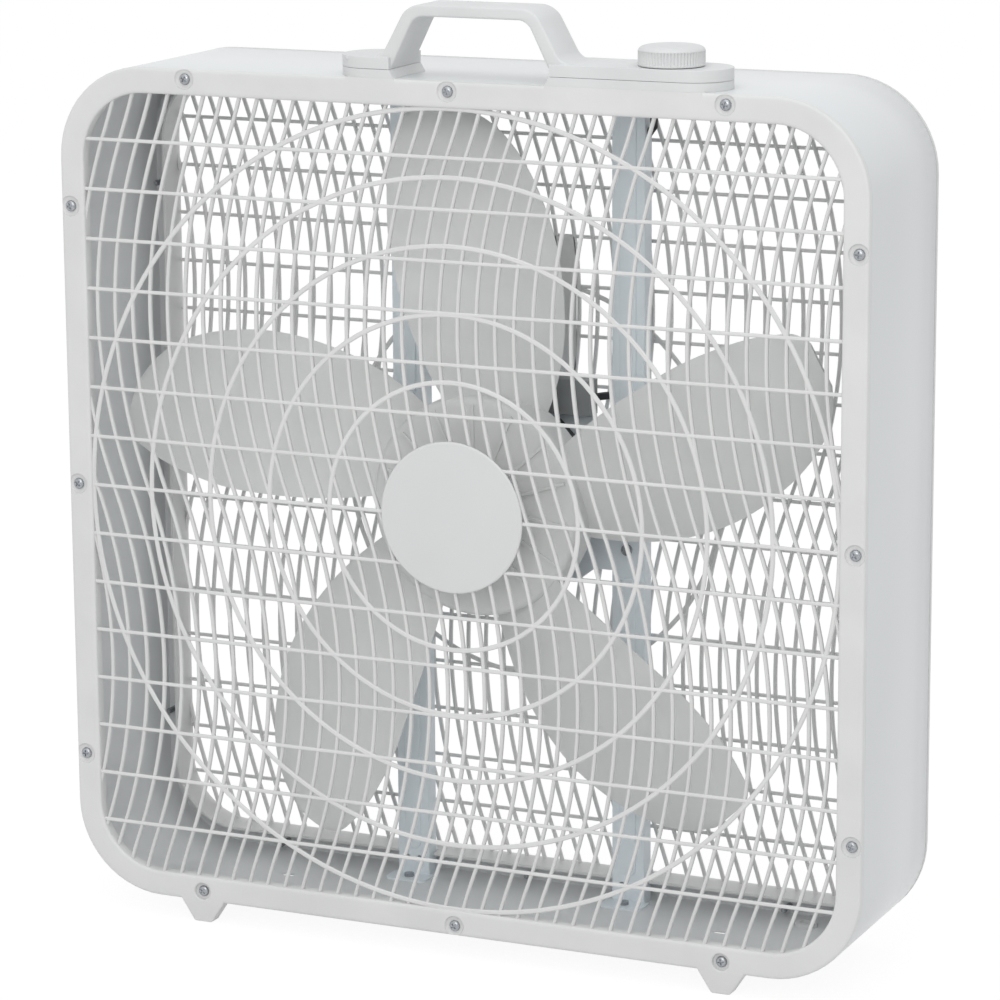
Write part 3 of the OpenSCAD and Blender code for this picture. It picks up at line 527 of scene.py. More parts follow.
class FanGrilleSettings(bpy.types.PropertyGroup):
    border: length("Border", "Width of the smooth border", 0.016, 0.0155, 0.02)
    rib_pitch: length("Rib pitch", "Spacing of the S-curved ribs", 0.01235, 0.011, 0.016)
    rib_width: length("Rib width", "Width of a rib", 0.0022, 0.0016, 0.003)
    rib_swing: length(
        "Rib swing", "How far a rib swings to each side of its middle line", 0.0205, 0.008, 0.024
    )
    rib_wave: length("Rib wave", "Height of one full S of a rib", 0.45, 0.38, 0.52)
    bar_pitch: length("Bar pitch", "Spacing of the level bars", 0.0313, 0.026, 0.036)
    ring_radius: length("Ring radius", "Radius of the innermost ring", 0.083, 0.07, 0.09)
    ring_pitch: length("Ring pitch", "Spacing of the rings", 0.0414, 0.036, 0.0414)
    rings: IntProperty(
        name="Rings", description="Number of rings on the front grille", default=5, min=1, max=5
    )


class FanImpellerSettings(bpy.types.PropertyGroup):
    blades: IntProperty(name="Blades", description="Number of blades", default=5, min=3, max=5)
    tip_radius: length("Tip radius", "Radius of the blade tips", 0.245, 0.2, 0.245)
    hub_radius: length("Hub radius", "Radius of the hub", 0.069, 0.06, 0.072)
    blade_thickness: length(
        "Blade thickness", "Thickness of a blade in the middle of its chord", 0.0026, 0.0018, 0.0034
    )


class FanControlSettings(bpy.types.PropertyGroup):
    strap: length("Strap", "Thickness of the handle's grip", 0.007, 0.005, 0.009)
    knob_ribs: IntProperty(
        name="Knob ribs", description="Number of grip ribs round the knob", default=60, min=20, max=72
    )


class FanColourSettings(bpy.types.PropertyGroup):
    cabinet: tint("Cabinet", "Enamel on the cabinet", "#DADCDD")
    struts: tint("Struts", "Enamel on the struts and the motor bracket", "#EAF2F7")
    grille: tint("Grilles", "Plastic of both grilles", "#DADAD9")
    medallion: tint("Medallion", "Plastic of the plain disc", "#D6D6D6")
    housing: tint("Housing", "Plastic of the handle and the control housing", "#D6D7D7")
    knob: tint("Knob", "Plastic of the speed knob", "#D6D7D7")
    impeller: tint("Impeller", "Plastic of the hub and the blades", "#DADBDA")


class FanSettings(bpy.types.PropertyGroup):
    cabinet: PointerProperty(type=FanCabinetSettings)
    grille: PointerProperty(type=FanGrilleSettings)
    impeller: PointerProperty(type=FanImpellerSettings)
    controls: PointerProperty(type=FanControlSettings)
    colours: PointerProperty(type=FanColourSettings)


# ---- Cabinet ----


def sweep_round(profile, width, height, radius, steps=12):
    """Sweeps a closed profile round a rectangle with round corners. The profile is drawn as
    distance out of the corner's centre and depth."""
    bm = bmesh.new()
    section = closed_loop(
        bm, [(-(width / 2 - radius), y, height / 2 - radius + out) for out, y in profile]
    )
    x, z = width / 2 - radius, height / 2 - radius
    corners = [(x, z), (x, -z), (-x, -z), (-x, z)]
    ways = [(1, 0), (0, -1), (-1, 0), (0, 1)]
    for k, (corner, way) in enumerate(zip(corners, ways)):
        run = 2 * x if k % 2 == 0 else 2 * z
        section = pull(bm, section, (way[0] * run, 0, way[1] * run))
        section = swing(bm, section, (corner[0], 0, corner[1]), (0, 1, 0), math.pi / 2, steps)
    return seal(bm)


class BOXFAN_OT_cabinet(bpy.types.Operator):
    """Rolls the cabinet band with its flanges and floor slots"""

    bl_idname = "boxfan.cabinet"
    bl_label = "Cabinet"

    def execute(self, context):
        p = context.scene.box_fan.cabinet
        width, height, r = p.width / MM, p.height / MM, p.corner_radius / MM
        sheet, flange = p.sheet / MM, p.flange / MM
        front, back = place_of("cabinet_band")[0].y, place_of("cabinet_band")[1].y
        bend = 1.8
        inner = bend - sheet
        profile = [(r - flange, front), (r - bend, front)]
        profile += [(r - bend + bend * math.sin(a), front + bend - bend * math.cos(a)) for a in ARC]
        profile += [(r - bend + bend * math.cos(a), back - bend + bend * math.sin(a)) for a in ARC]
        profile += [(r - bend, back), (r - flange, back), (r - flange, back - sheet)]
        profile += [(r - bend, back - sheet)]
        profile += [(r - bend + inner * math.sin(a), back - bend + inner * math.cos(a)) for a in ARC]
        profile += [(r - bend + inner * math.cos(a), front + bend - inner * math.sin(a)) for a in ARC]
        profile += [(r - bend, front + sheet), (r - flange, front + sheet)]
        band = sweep_round(profile, width, height, r, steps=16)
        for side in (-1, 1):
            x = side * 150
            slot = block((x - 4.5, 66, -height / 2 - 2), (x + 4.5, 70, -height / 2 + 3))
            upright = [e for e in slot.edges if abs(e.verts[0].co.z - e.verts[1].co.z) > 1]
            ease_edges(slot, upright, 1.9, 4)
            band = combine(band, slot, "DIFFERENCE")
        finish_piece("rolled_cabinet", band, "cabinet", "cabinet_paint", ["cabinet_band"])
        return {"FINISHED"}


ARC = [math.radians(a) for a in (18, 36, 54, 72)]


# ---- Grilles ----


def pill(width, depth, ease):
    """Eight points round a bar's section, with its corners eased off."""
    w, d = width / 2, depth / 2
    return [
        (-w, -d + ease),
        (-w + ease, -d),
        (w - ease, -d),
        (w, -d + ease),
        (w, d - ease),
        (w - ease, d),
        (-w + ease, d),
        (-w, d - ease),
    ]


def stretches(inside, low, high, step=2.0):
    """The stretches between low and high where inside() holds, with ends found by halving."""
    found, start, t = [], (low if inside(low) else None), low
    while t < high:
        ahead = min(t + step, high)
        if inside(t) != inside(ahead):
            a, b = t, ahead
            for _ in range(16):
                half = (a + b) / 2
                a, b = (half, b) if inside(half) == inside(t) else (a, half)
            if start is None:
                start = a
            else:
                found.append((start, a))
                start = None
        t = ahead
    return found + ([(start, high)] if start is not None else [])


class Opening:
    """The rounded opening inside a grille's border."""

    def __init__(self, cabinet, grille):
        self.x = cabinet.width / MM / 2 - grille.border / MM
        self.z = cabinet.height / MM / 2 - grille.border / MM
        self.r = (cabinet.corner_radius - grille.border) / MM

    def holds(self, x, z, grow):
        """True where a point lies in the opening, grown by a margin."""
        dx = abs(x) - (self.x - self.r)
        dz = abs(z) - (self.z - self.r)
        if dx > 0 and dz > 0:
            return math.hypot(dx, dz) <= self.r + grow
        return abs(x) <= self.x + grow and abs(z) <= self.z + grow


def rod(points, way, steps=1):
    """A closed rod drawn from a section over a number of steps, with both ends filled."""
    bm = bmesh.new()
    section = closed_loop(bm, points)
    spun = bmesh.ops.spin(
        bm,
        geom=section,
        cent=(0, 0, 0),
        axis=(0, 1, 0),
        angle=0,
        steps=steps,
        dvec=Vector(way) / steps,
    )
    bmesh.ops.edgeloop_fill(bm, edges=edges_of(section))
    bmesh.ops.edgeloop_fill(bm, edges=edges_of(far_end(spun["geom_last"])))
    return seal(bm)


def ribs(grille, opening, y, depth):
    """The S-curved ribs, each cut off inside the border's lip."""
    bm = bmesh.new()
    pitch, width = grille.rib_pitch / MM, grille.rib_width / MM
    swing_x, half_wave = grille.rib_swing / MM, grille.rib_wave / MM / 2

    def sway(z):
        """Even arcs, by turns to the left and to the right."""
        arc, share = divmod(z / half_wave, 1)
        return (4 if arc % 2 else -4) * swing_x * share * (1 - share)

    count = math.ceil((opening.x + swing_x) / pitch)
    middle = y + depth / 2
    for k in range(-count, count + 1):
        inside = lambda z: opening.holds(k * pitch + sway(z), z, 1.5)
        for low, high in stretches(inside, -opening.z - 1.5, opening.z + 1.5):
            steps = max(2, round((high - low) / 9))
            points = [(k * pitch + a, middle + b, low) for a, b in pill(width, depth, 0.75)]
            absorb(bm, rod(points, (0, 0, high - low), steps))
    for vert in bm.verts:
        vert.co.x += sway(vert.co.z)
    return bm


def bars(grille, opening, y, depth, height=2.2):
    """The level bars from lip to lip."""
    bm = bmesh.new()
    pitch = grille.bar_pitch / MM
    count = int((opening.z - height) / pitch)
    for k in range(-count, count + 1):
        inside = lambda x: opening.holds(x, k * pitch, 1.5)
        for low, high in stretches(inside, -opening.x - 1.5, opening.x + 1.5):
            points = [
                (low, y + depth / 2 + b, k * pitch + a) for a, b in pill(height, depth, 0.55)
            ]
            absorb(bm, rod(points, (high - low, 0, 0)))
    return bm


def rings(radii, y, depth, width=3.0):
    """The round rings that tie the ribs together, 0.12 mm inside the bars' faces."""
    bm = bmesh.new()
    for radius in radii:
        section = [(radius + a, y + depth / 2 + b) for a, b in pill(width, depth - 0.24, 0.65)]
        absorb(bm, turned(section, max(64, int(radius * 0.7)), closed=True))
    return bm


def border_shape(cabinet, grille, lip, extras=()):
    """The smooth border with its lip, tongues, feet, dimples and screw recesses."""
    r = cabinet.corner_radius / MM
    inner = r - grille.border / MM
    thick, lip_t = BORDER_T, LIP_T
    crown = [(0, thick), (0, 1.7), (0.12, 1.05), (0.45, 0.5), (1.0, 0.18), (1.9, 0.03), (3.2, 0)]
    edge = [(2.5, 0), (1.3, 0.1), (0.5, 0.42), (0.08, 0.95), (0, 1.5)]
    profile = [(r - a, b) for a, b in crown] + [(inner + a, b) for a, b in edge]
    profile += [(inner, lip - 0.4), (inner + 0.4, lip), (inner + lip_t - 0.4, lip)]
    profile += [(inner + lip_t, lip - 0.4), (inner + lip_t, thick)]
    shape = sweep_round(profile, cabinet.width / MM, cabinet.height / MM, r, steps=14)
    half = cabinet.height / MM / 2
    for side in (-1, 1):
        x = side * SCREW_SPREAD
        tongue = slab(
            oblong(x, 15, -half + 13, -half),
            0.03,
            thick - 0.03,
            [2.5, 2.5, 0, 0],
        )
        foot = slab(
            [
                (x - 15, -half + 2.5),
                (x + 15, -half + 2.5),
                (x + 14.9, -half - 0.4),
                (x + 6, -half - 13.8),
                (x - 6, -half - 13.8),
                (x - 14.9, -half - 0.4),
            ],
            0.03,
            9.37,
            [0, 0, 3, 2.2, 2.2, 3],
            ease=0.9,
        )
        notch = block((x - 20, thick - 0.05, -half + 0.02), (x + 20, 14, -half + 6))
        shape = combine(shape, tongue, "UNION")
        shape = combine(shape, combine(foot, notch, "DIFFERENCE"), "UNION")
    for extra in extras:
        shape = combine(shape, extra, "UNION")
    edge_x, edge_z = cabinet.width / MM / 2 - SCREW_INSET, half - SCREW_INSET
    points = [(a * SCREW_SPREAD, edge_z) for a in (-1, 0, 1)]
    points.insert(2, (0, -edge_z))
    points += [(s * edge_x, a * SCREW_SPREAD) for s in (-1, 1) for a in (-1, 0, 1)]
    dimples = bmesh.new()
    for x, z in points:
        scoop = turned([(0, 1.4), (4.9, 1.4), (5.7, 1.15), (6.5, 0.2), (6.6, -1), (0, -1)], 40, (x, 0, z))
        absorb(dimples, scoop)
    for side in (-1, 1):
        well = turned(
            [(0, 2.6), (5.1, 2.6), (5.35, 2.3), (5.5, 0.5), (6.1, 0), (6.1, -1), (0, -1)],
            40,
            (side * SCREW_SPREAD, 0, -edge_z),
        )
        absorb(dimples, well)
    return combine(shape, dimples, "DIFFERENCE")


class BOXFAN_OT_grilles(bpy.types.Operator):
    """Moulds the front and the rear grille, each with its border, ribs, bars, rings and feet"""

    bl_idname = "boxfan.grilles"
    bl_label = "Grilles"

    def execute(self, context):
        cabinet, grille = context.scene.box_fan.cabinet, context.scene.box_fan.grille
        opening = Opening(cabinet, grille)
        bar_y, bar_depth, rib_y, rib_depth = 1.4, 2.0, 1.8, 3.2
        half = cabinet.height / MM / 2
        low, high = place_of("control_base")
        gap_low, gap_high = HANDLE_X - HANDLE_GAP, HANDLE_X + HANDLE_GAP
        # The border runs square up to the housing where the two meet
        flats = [
            block((low.x + 10, 0.0, half - 6), (gap_low + 3, BORDER_T, half - 0.02)),
            block((gap_high - 3, 0.0, half - 6), (high.x - 10, BORDER_T, half - 0.02)),
        ]
        front = border_shape(cabinet, grille, 8, flats)
        radii = [(grille.ring_radius + k * grille.ring_pitch) / MM for k in range(grille.rings)]
        absorb(front, ribs(grille, opening, rib_y, rib_depth))
        absorb(front, bars(grille, opening, bar_y, bar_depth), rings(radii, bar_y, bar_depth))
        finish_piece(
            "front_grille_moulding",
            front,
            "cabinet",
            "grille_plastic",
            ["front_grille", "front_feet"],
        )
        lip = DEPTH - 104
        rear = border_shape(cabinet, grille, lip)
        # The deep lip is notched where the struts pass it
        for side in (-1, 1):
            x = side * STRUT_X
            notch = block((x - 12.5, 14, -half), (x + 12.5, 40, half))
            rear = combine(rear, notch, "DIFFERENCE")
        absorb(rear, ribs(grille, opening, rib_y, rib_depth))
        absorb(rear, bars(grille, opening, bar_y, bar_depth), rings([128], bar_y, bar_depth))
        pitch = grille.bar_pitch / MM
        panel = slab(
            oblong(0, 31, 2 * pitch, 5 * pitch),
            bar_y + bar_depth,
            1.6,
            [2, 2, 2, 2],
        )
        absorb(rear, panel)
        finish_piece(
            "rear_grille_moulding",
            turn_to_rear(rear),
            "cabinet",
            "grille_plastic",
            ["rear_grille", "rear_collar", "rear_collar_corners", "rear_feet"],
        )
        return {"FINISHED"}


class BOXFAN_OT_medallion(bpy.types.Operator):
    """Turns the plain disc in the middle of the front grille"""

    bl_idname = "boxfan.medallion"
    bl_label = "Medallion"

    def execute(self, context):
        low, high = place_of("front_medallion")
        r, front, back = high.x, low.y, high.y
        profile = [(0, front), (r - 1.6, front), (r - 0.8, front + 0.1), (r - 0.25, front + 0.4)]
        profile += [(r, front + 0.9), (r, back), (0, back)]
        disc = turned(profile, 96)
        finish_piece("medallion_disc", disc, "cabinet", "medallion_plastic", ["front_medallion"])
        return {"FINISHED"}


# ---- Handle, housing and knob ----


def housing_pad(inner, outer, low, high, depth, ease, flare=0.0):
    """A bar of the housing with one round end, standing from low to high."""
    side = 1 if outer > inner else -1
    bm = bmesh.new()
    plan = [(inner - side * flare, 0), (outer, 0), (outer, depth), (inner - side * flare, depth)]
    face = outline_face(bm, [(x, y, low) for x, y in plan])
    tips = [v for v in face.verts if abs(v.co.x - outer) < 1e-3]
    round_corners_of(bm, tips, depth / 2 - 0.01, 18)
    made = thicken(bm, (0, 0, high - low))
    if flare:
        for vert in made:
            if abs(vert.co.x - (inner - side * flare)) < 1e-3:
                vert.co.x = inner
    seal(bm)
    if ease:
        top = [
            e
            for e in bm.edges
            if all(abs(v.co.z - high) < 1e-3 for v in e.verts)
            and not all(abs(v.co.x - inner) < 1e-3 for v in e.verts)
        ]
        ease_edges(bm, top, ease, 5)
    return bm


class BOXFAN_OT_housing(bpy.types.Operator):
    """Moulds the control housing's lower half and its cover with the carry handle"""

    bl_idname = "boxfan.housing"
    bl_label = "Handle and housing"

    def execute(self, context):
        strap = context.scene.box_fan.controls.strap / MM
        base_low, base_high = place_of("control_base")
        cover_low, cover_high = place_of("handle_cover")
        middle, gap, grip, depth = HANDLE_X, HANDLE_GAP, 36.5, base_high.y
        top = 277.5
        left, right = cover_low.x, cover_high.x
        low_half = absorb(
            housing_pad(middle - gap, left, base_low.z, base_high.z - 0.25, depth, 0.35, 3.0),
            housing_pad(middle + gap, right, base_low.z, base_high.z - 0.25, depth, 0.35, 3.0),
        )
        finish_piece("housing_base", low_half, "cabinet", "housing_plastic", ["control_base"])
        cover = absorb(
            housing_pad(middle - gap, left, cover_low.z, top, depth, 2.6),
            housing_pad(middle + gap, right, cover_low.z, top, depth, 2.6),
        )
        over = cover_high.z - 1.7
        under = over - strap
        shoulder = grip + 4.7
        # Half of the arch, as distance from its middle, height and the corner's radius
        upper = [(gap + 30, top - 0.5, 0), (gap + 6.7, top + 0.05, 11), (shoulder, over, 14)]
        lower = [(gap + 30, top - 3, 0), (gap + 4, cover_low.z + 0.8, 0)]
        lower += [(gap + 0.05, cover_low.z + 0.3, 0), (grip, under, 9)]
        outline = [(middle - x, z, bend) for x, z, bend in upper]
        outline += [(middle + x, z, bend) for x, z, bend in upper[::-1] + lower]
        outline += [(middle - x, z, bend) for x, z, bend in lower[::-1]]
        points = [(x, z) for x, z, _ in outline]
        bends = [bend for _, _, bend in outline]
        arch = slab(points, cover_low.y + 3, 33, bends, ease=1.9, ease_steps=4)
        cover = combine(cover, arch, "UNION")
        finish_piece("handle_moulding", cover, "cabinet", "housing_plastic", ["handle_cover"])
        return {"FINISHED"}


class BOXFAN_OT_knob(bpy.types.Operator):
    """Turns the speed knob and presses its grip ribs"""

    bl_idname = "boxfan.knob"
    bl_label = "Knob"

    def execute(self, context):
        count = context.scene.box_fan.controls.knob_ribs
        low, high = place_of("speed_knob")
        centre = (low + high) / 2
        r, tall = (high.x - low.x) / 2, high.z - low.z
        profile = [(0, 0.6), (r - 3, 0.6), (r - 1.2, 0), (r - 0.3, 0), (r, 0.4)]
        profile += [(r, 0.9), (r, 1.3), (r, tall - 3.6), (r, tall - 3.1), (r - 0.5, tall - 2.2)]
        profile += [(r - 1.3, tall - 1.4), (r - 2.4, tall - 0.8), (r - 4.5, tall - 0.3)]
        profile += [(r - 9, tall - 0.05), (0, tall)]
        steps = count * 6
        knob = turned(profile, steps, (centre.x, centre.y, low.z), "Z")
        for vert in knob.verts:
            away = vert.co.xy - centre.xy
            height = vert.co.z - low.z
            if away.length > r - 0.2 and 1.1 < height < tall - 3.3:
                turn = round(math.atan2(away.y, away.x) / math.tau * steps) % 6
                sink = (0.0, 0.15, 0.6, 0.9, 0.6, 0.15)[turn]
                vert.co.xy -= away.normalized() * sink
        finish_piece("grip_knob", knob, "knob", "knob_plastic", ["speed_knob"], sharp=50)
        return {"FINISHED"}


# ---- Impeller ----

# Share of the way from hub to tip, the front and the rear edge of the chord as turns in
# degrees from the blade's axis, and each edge's depth as a share of the hub's depth
BLADE_STATIONS = [
    (0.00, 17.0, -34.0, 0.06, 0.96),
    (0.10, 18.4, -31.0, -0.12, 0.95),
    (0.24, 19.0, -27.0, -0.26, 0.86),
    (0.41, 18.6, -21.9, -0.32, 0.70),
    (0.58, 17.8, -16.6, -0.24, 0.59),
    (0.72, 16.4, -11.6, -0.10, 0.55),
    (0.83, 15.0, -7.4, 0.00, 0.54),
    (0.92, 13.4, -3.2, 0.08, 0.52),
    (0.97, 12.2, 0.2, 0.14, 0.48),
    (1.00, 10.2, 3.6, 0.20, 0.38),
]


def blade_row(share):
    """The blade's section at a share of its length, eased through the stations."""
    rows = BLADE_STATIONS
    k = max(0, min(len(rows) - 2, sum(1 for row in rows if row[0] <= share) - 1))
    a, b = rows[k], rows[k + 1]
    before, after = rows[max(k - 1, 0)], rows[min(k + 2, len(rows) - 1)]
    gap = b[0] - a[0]
    t = (share - a[0]) / gap
    values = []
    for i in range(1, 5):
        lean_a = (b[i] - before[i]) / (b[0] - before[0]) * gap
        lean_b = (after[i] - a[i]) / (after[0] - a[0]) * gap
        values.append(
            (2 * t**3 - 3 * t**2 + 1) * a[i]
            + (t**3 - 2 * t**2 + t) * lean_a
            + (3 * t**2 - 2 * t**3) * b[i]
            + (t**3 - t**2) * lean_b
        )
    return values


def blade(root, tip, hub_y, hub_depth, thickness, bow=4.0):
    """One twisted blade: a thin grid, thickened, then bent to its stations."""
    bm = bmesh.new()
    bmesh.ops.create_grid(bm, x_segments=18, y_segments=34, size=0.5)
    bmesh.ops.solidify(bm, geom=bm.faces[:], thickness=1)
    middle = sum(v.co.z for v in bm.verts) / len(bm.verts)
    for vert in bm.verts:
        s = min(1, max(0, vert.co.x + 0.5))
        share = 1 - (1 - min(1, max(0, vert.co.y + 0.5))) ** 1.5
        face = 1 if vert.co.z > middle else -1
        front, rear, front_depth, rear_depth = blade_row(share)
        r = root + (tip - root) * share
        turn = math.radians(rear + (front - rear) * s)
        depth = hub_depth * (rear_depth + (front_depth - rear_depth) * s)
        depth -= bow * math.sin(math.pi * s) * (1 - share / 2)
        half = thickness / 2 * (0.3 + 0.7 * math.sqrt(max(0, math.sin(math.pi * s))))
        vert.co = (-r * math.sin(turn), hub_y + depth + face * half, r * math.cos(turn))
    return seal(bm, 0.0005)


class BOXFAN_OT_impeller(bpy.types.Operator):
    """Moulds the hub with its stiffening ribs and the twisted blades"""

    bl_idname = "boxfan.impeller"
    bl_label = "Impeller"

    def execute(self, context):
        p = context.scene.box_fan.impeller
        r, tip, thick = p.hub_radius / MM, p.tip_radius / MM, p.blade_thickness / MM
        hub_y, depth, wall = 33.8, 28.0, 3.0
        outer = [(0, 0), (r - 6, 0), (r - 3.4, 0.3), (r - 1.4, 1.3), (r - 0.3, 3.1), (r, 5.6)]
        outer += [(r, depth - 0.6), (r - 0.6, depth), (r - wall + 0.6, depth)]
        inner = [(r - wall, depth - 0.6), (r - wall, wall + 2), (r - wall - 2, wall), (12, wall)]
        inner += [(11, wall + 1), (11, 16.4), (10.4, 17), (0, 17)]
        wheel = turned([(a, hub_y + b) for a, b in outer + inner], 120)
        for k in range(15):
            rib = slab(
                [(-1.1, 13), (1.1, 13), (0.9, r - 5), (-0.9, r - 5)], hub_y - 1.5, 2.2, ease=0.3
            )
            rib.transform(Matrix.Rotation(k * math.tau / 15, 4, "Y"))
            absorb(wheel, rib)
        collar = turned(
            [(9, 1), (9, -1.1), (9.4, -1.5), (14.6, -1.5), (15, -1.1), (15, 1)], 64, closed=True
        )
        bmesh.ops.translate(collar, verts=collar.verts[:], vec=(0, hub_y, 0))
        absorb(wheel, collar)
        for k in range(p.blades):
            one = blade(r - wall / 2, tip, hub_y, depth, thick)
            one.transform(Matrix.Rotation(k * math.tau / p.blades, 4, "Y"))
            absorb(wheel, one)
        finish_piece("impeller_moulding", wheel, "impeller", "impeller_plastic", ["impeller"])
        return {"FINISHED"}


# ---- Struts and motor ----


class BOXFAN_OT_struts(bpy.types.Operator):
    """Folds the two struts, each a channel with beads, end tabs and holes"""

    bl_idname = "boxfan.struts"
    bl_label = "Struts"

    def execute(self, context):
        for side, name in ((-1, "left"), (1, "right")):
            node = "strut_" + name
            low, high = place_of(node)
            x, w, t = side * STRUT_X, 11, 1.2
            front, back = 100.0, high.y
            section = [(-w, back), (-w, front + 1), (-w + 0.3, front + 0.3), (-w + 1, front)]
            section += [(w - 1, front), (w - 0.3, front + 0.3), (w, front + 1), (w, back)]
            section += [(w - t, back), (w - t, front + t), (-w + t, front + t), (-w + t, back)]
            points = [(x + a, b, low.z) for a, b in section]
            channel = rod(points, (0, 0, high.z - low.z))
            for end in (-1, 1):
                z = high.z if end > 0 else low.z
                tab = bmesh.new()
                plan = [(-14, 85), (14, 85), (14, front + t), (-14, front + t)]
                face = outline_face(tab, [(x + a, b, z) for a, b in plan])
                round_corners_of(tab, [v for v in face.verts if v.co.y < 90], 4, 6)
                thicken(tab, (0, 0, -end * t))
                channel = combine(channel, seal(tab), "UNION")
                # A long bead stiffens each half of the face and dies out behind the bracket
                bead = slab(
                    oblong(x, 5.5, end * 52.5, end * 246),
                    front - 1,
                    1.6,
                    [5, 5, 5, 5],
                    ease=0.75,
                    ease_steps=3,
                )
                channel = combine(channel, bead, "UNION")
            holes = bmesh.new()
            for a in (-4, 4):
                absorb(holes, turned([(0, 90), (1.6, 90), (1.6, 105), (0, 105)], 20, (x + a, 0, -252)))
            channel = combine(channel, holes, "DIFFERENCE")
            finish_piece("folded_strut_" + name, channel, "cabinet", "strut_paint", [node])
        return {"FINISHED"}


class BOXFAN_OT_screws(bpy.types.Operator):
    """Makes the pan-head screws of both grilles, each with a cross recess"""

    bl_idname = "boxfan.screws"
    bl_label = "Screws"

    def execute(self, context):
        cabinet = context.scene.box_fan.cabinet
        edge_x = cabinet.width / MM / 2 - SCREW_INSET
        edge_z = cabinet.height / MM / 2 - SCREW_INSET
        profile = [(0, -2.2), (1.4, -2.15), (2.4, -1.9), (3.1, -1.4), (3.45, -0.8), (3.55, -0.3)]
        profile += [(3.45, 0), (1.8, 0), (1.8, 14.2), (1.2, 15), (0, 15)]
        screw = turned(profile, 28)
        cross = bmesh.new()
        for k in range(2):
            arm = block((-2.0, -3, -0.45), (2.0, -1.1, 0.45))
            arm.transform(Matrix.Rotation(math.radians(32 + 90 * k), 4, "Y"))
            cross = absorb(cross, arm) if not k else combine(cross, arm, "UNION")
        screw = combine(screw, cross, "DIFFERENCE")
        mesh = bpy.data.meshes.new("screw")
        screw.to_mesh(mesh)
        screw.free()
        spots = [(a * SCREW_SPREAD, edge_z, 1.4) for a in (-1, 0, 1)] + [(0, -edge_z, 1.4)]
        spots += [(s * edge_x, a * SCREW_SPREAD, 1.4) for s in (-1, 1) for a in (-1, 0, 1)]
        spots += [(s * SCREW_SPREAD, -edge_z, 2.6) for s in (-1, 1)]
        for rear, node in enumerate(("front_grille_screws", "rear_grille_screws")):
            bm = bmesh.new()
            for k, (x, z, y) in enumerate(spots):
                start = len(bm.verts)
                bm.from_mesh(mesh)
                fresh = bm.verts[:][start:]
                turn = Matrix.Rotation(math.radians(37 * k), 4, "Y")
                bmesh.ops.transform(
                    bm, matrix=Matrix.Translation((x, y, z)) @ turn, verts=fresh
                )
            if rear:
                turn_to_rear(bm)
            finish_piece("pan_head_" + node, bm, "cabinet", "screw_steel", [node])
        bpy.data.meshes.remove(mesh)
        return {"FINISHED"}


class BOXFAN_OT_inner_parts(bpy.types.Operator):
    """Gives the motor, the switch and the small fasteners their real finishes"""

    bl_idname = "boxfan.inner_parts"
    bl_label = "Inner parts"

    def execute(self, context):
        slots = {s["node"]: s["material_slot"] for s in frame["record"]["subparts"]}
        for name, ob in frame["nodes"].items():
            ob.data.materials.clear()
            ob.data.materials.append(FINISHES[slots[name]])
        return {"FINISHED"}


# ---- Stage ----


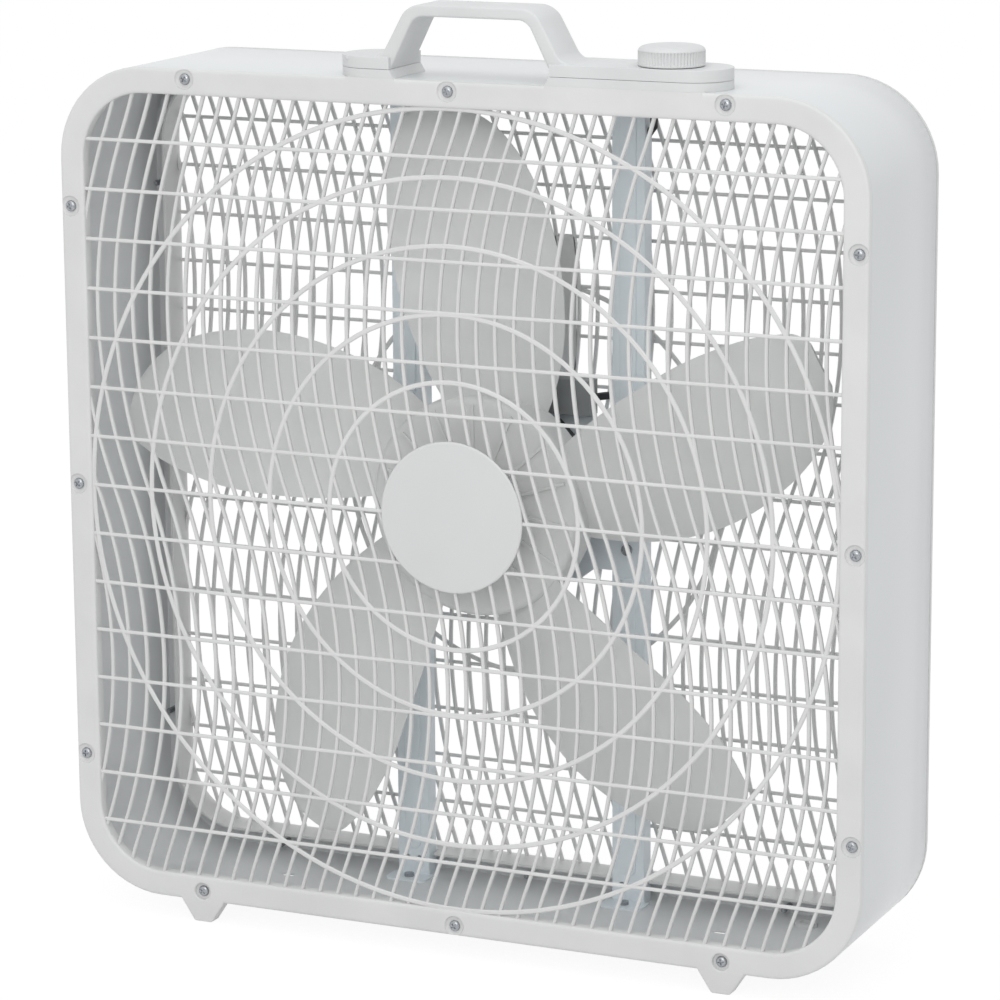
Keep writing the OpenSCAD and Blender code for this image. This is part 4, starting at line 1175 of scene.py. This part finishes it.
class BOXFAN_OT_stage(bpy.types.Operator):
    """Sets up the pale floor, the soft lights, the white surroundings and the camera"""

    bl_idname = "boxfan.stage"
    bl_label = "Stage"

    def execute(self, context):
        scene = context.scene
        scene.view_settings.view_transform = "Standard"
        self.add_floor(scene)
        self.add_lights(scene)
        self.add_camera(scene)
        return {"FINISHED"}

    def seen_directly(self, tree):
        """1 for rays that show a background: from the camera, a gloss or a clear piece."""
        path = add_node(tree, "ShaderNodeLightPath").outputs
        seen = path["Is Camera Ray"]
        for kind in ("Is Glossy Ray", "Is Transmission Ray"):
            either = {0: seen, 1: path[kind]}
            seen = add_node(tree, "ShaderNodeMath", {"operation": "MAXIMUM"}, either).outputs[0]
        return seen

    def either_shader(self, tree, unseen, seen):
        """One shader for light that falls on things, and another for rays that show it."""
        links = {0: self.seen_directly(tree), 1: unseen, 2: seen}
        return add_node(tree, "ShaderNodeMixShader", links=links).outputs["Shader"]

    def add_floor(self, scene):
        bm = bmesh.new()
        bmesh.ops.create_circle(bm, cap_ends=True, segments=96, radius=9)
        mesh = bpy.data.meshes.new("studio_floor")
        bm.to_mesh(mesh)
        bm.free()
        floor = bpy.data.objects.new("studio_floor", mesh)
        scene.collection.objects.link(floor)
        # Matt white vinyl: shows white itself, and keeps a soft shadow of the fan
        material, tree, _ = start_material("Matt studio vinyl")
        matt = add_node(tree, "ShaderNodeBsdfDiffuse", {"Color": (0.8, 0.8, 0.8, 1)})
        white = add_node(tree, "ShaderNodeEmission", {"Color": (1, 1, 1, 1), "Strength": 1.06})
        glow = 0.87  # share of plain white, which leaves the rest to the shadow
        blend = {1: matt.outputs["BSDF"], 2: white.outputs["Emission"]}
        pale = add_node(tree, "ShaderNodeMixShader", {0: glow}, blend).outputs["Shader"]
        both = self.either_shader(tree, matt.outputs["BSDF"], pale)
        add_node(tree, "ShaderNodeOutputMaterial", links={"Surface": both})
        mesh.materials.append(material)

    def add_lights(self, scene):
        world = bpy.data.worlds.new("Studio")
        world.use_nodes = True
        tree = world.node_tree
        tree.nodes.clear()
        soft = add_node(
            tree, "ShaderNodeBackground", {"Color": (0.98, 0.99, 1.0, 1), "Strength": 0.75}
        )
        white = add_node(tree, "ShaderNodeBackground", {"Color": (1, 1, 1, 1), "Strength": 1.0})
        both = self.either_shader(tree, soft.outputs["Background"], white.outputs["Background"])
        add_node(tree, "ShaderNodeOutputWorld", links={"Surface": both})
        scene.world = world
        # Name, place, point it is aimed at, side in metres, watts and colour
        lamps = [
            ("Top softbox", (0.2, -0.6, 1.9), (0, 0, 0.3), 1.6, 7, (0.95, 0.98, 1.0)),
            ("Front softbox", (0.6, -2.3, 1.4), (0, 0, 0.28), 1.2, 13, (1.0, 0.99, 0.97)),
        ]
        for name, where, aim, size, power, colour in lamps:
            lamp = bpy.data.lights.new(name, "AREA")
            lamp.shape = "SQUARE"
            lamp.size = size
            lamp.energy = power
            lamp.color = colour
            ob = bpy.data.objects.new(name, lamp)
            ob.location = where
            ob.rotation_euler = (Vector(aim) - Vector(where)).to_track_quat("-Z", "Y").to_euler()
            scene.collection.objects.link(ob)

    def add_camera(self, scene):
        """Three-quarter view from the right, a little above the fan's middle."""
        azimuth, rise, roll = (math.radians(a) for a in (24.3, 12.446, -0.365))
        # Metres from the middle of the front face
        stand = MIDDLE + Vector((1.02549, -2.19806, 0.54647))
        out = Vector(
            (
                math.sin(azimuth) * math.cos(rise),
                -math.cos(azimuth) * math.cos(rise),
                math.sin(rise),
            )
        )
        right = Vector((0, 0, 1)).cross(out).normalized()
        up = out.cross(right)
        turned_right = right * math.cos(roll) + up * math.sin(roll)
        turned_up = up * math.cos(roll) - right * math.sin(roll)
        camera = bpy.data.cameras.new("Product camera")
        camera.sensor_width = 36
        camera.lens = 147.81
        ob = bpy.data.objects.new("Product camera", camera)
        axes = Matrix((turned_right, turned_up, out)).transposed()
        ob.matrix_world = Matrix.Translation(stand) @ axes.to_4x4()
        scene.collection.objects.link(ob)
        scene.camera = ob


# ---- Panel and registration ----

OPERATORS = (
    BOXFAN_OT_stage,
    BOXFAN_OT_inner_parts,
    BOXFAN_OT_cabinet,
    BOXFAN_OT_grilles,
    BOXFAN_OT_medallion,
    BOXFAN_OT_housing,
    BOXFAN_OT_knob,
    BOXFAN_OT_impeller,
    BOXFAN_OT_struts,
    BOXFAN_OT_screws,
)


class BOXFAN_PT_panel(bpy.types.Panel):
    """Settings and steps of the box fan"""

    bl_label = "Box Fan"
    bl_idname = "BOXFAN_PT_panel"
    bl_space_type = "VIEW_3D"
    bl_region_type = "UI"
    bl_category = "Box Fan"

    def draw(self, context):
        fan = context.scene.box_fan
        for group in (fan.cabinet, fan.grille, fan.impeller, fan.controls, fan.colours):
            box = self.layout.box()
            for name in group.bl_rna.properties.keys():
                if name not in ("rna_type", "name"):
                    box.prop(group, name)
        for operator in OPERATORS:
            self.layout.operator(operator.bl_idname)


CLASSES = (
    FanCabinetSettings,
    FanGrilleSettings,
    FanImpellerSettings,
    FanControlSettings,
    FanColourSettings,
    FanSettings,
) + OPERATORS + (BOXFAN_PT_panel,)


def register():
    for cls in CLASSES:
        bpy.utils.register_class(cls)
    bpy.types.Scene.box_fan = PointerProperty(type=FanSettings)


def unregister():
    del bpy.types.Scene.box_fan
    for cls in reversed(CLASSES):
        bpy.utils.unregister_class(cls)


def main():
    register()
    FINISHES.update(make_materials(bpy.context.scene.box_fan.colours))
    for operator in OPERATORS:
        group, name = operator.bl_idname.split(".")
        getattr(getattr(bpy.ops, group), name)()


if __name__ == "__main__":
    main()
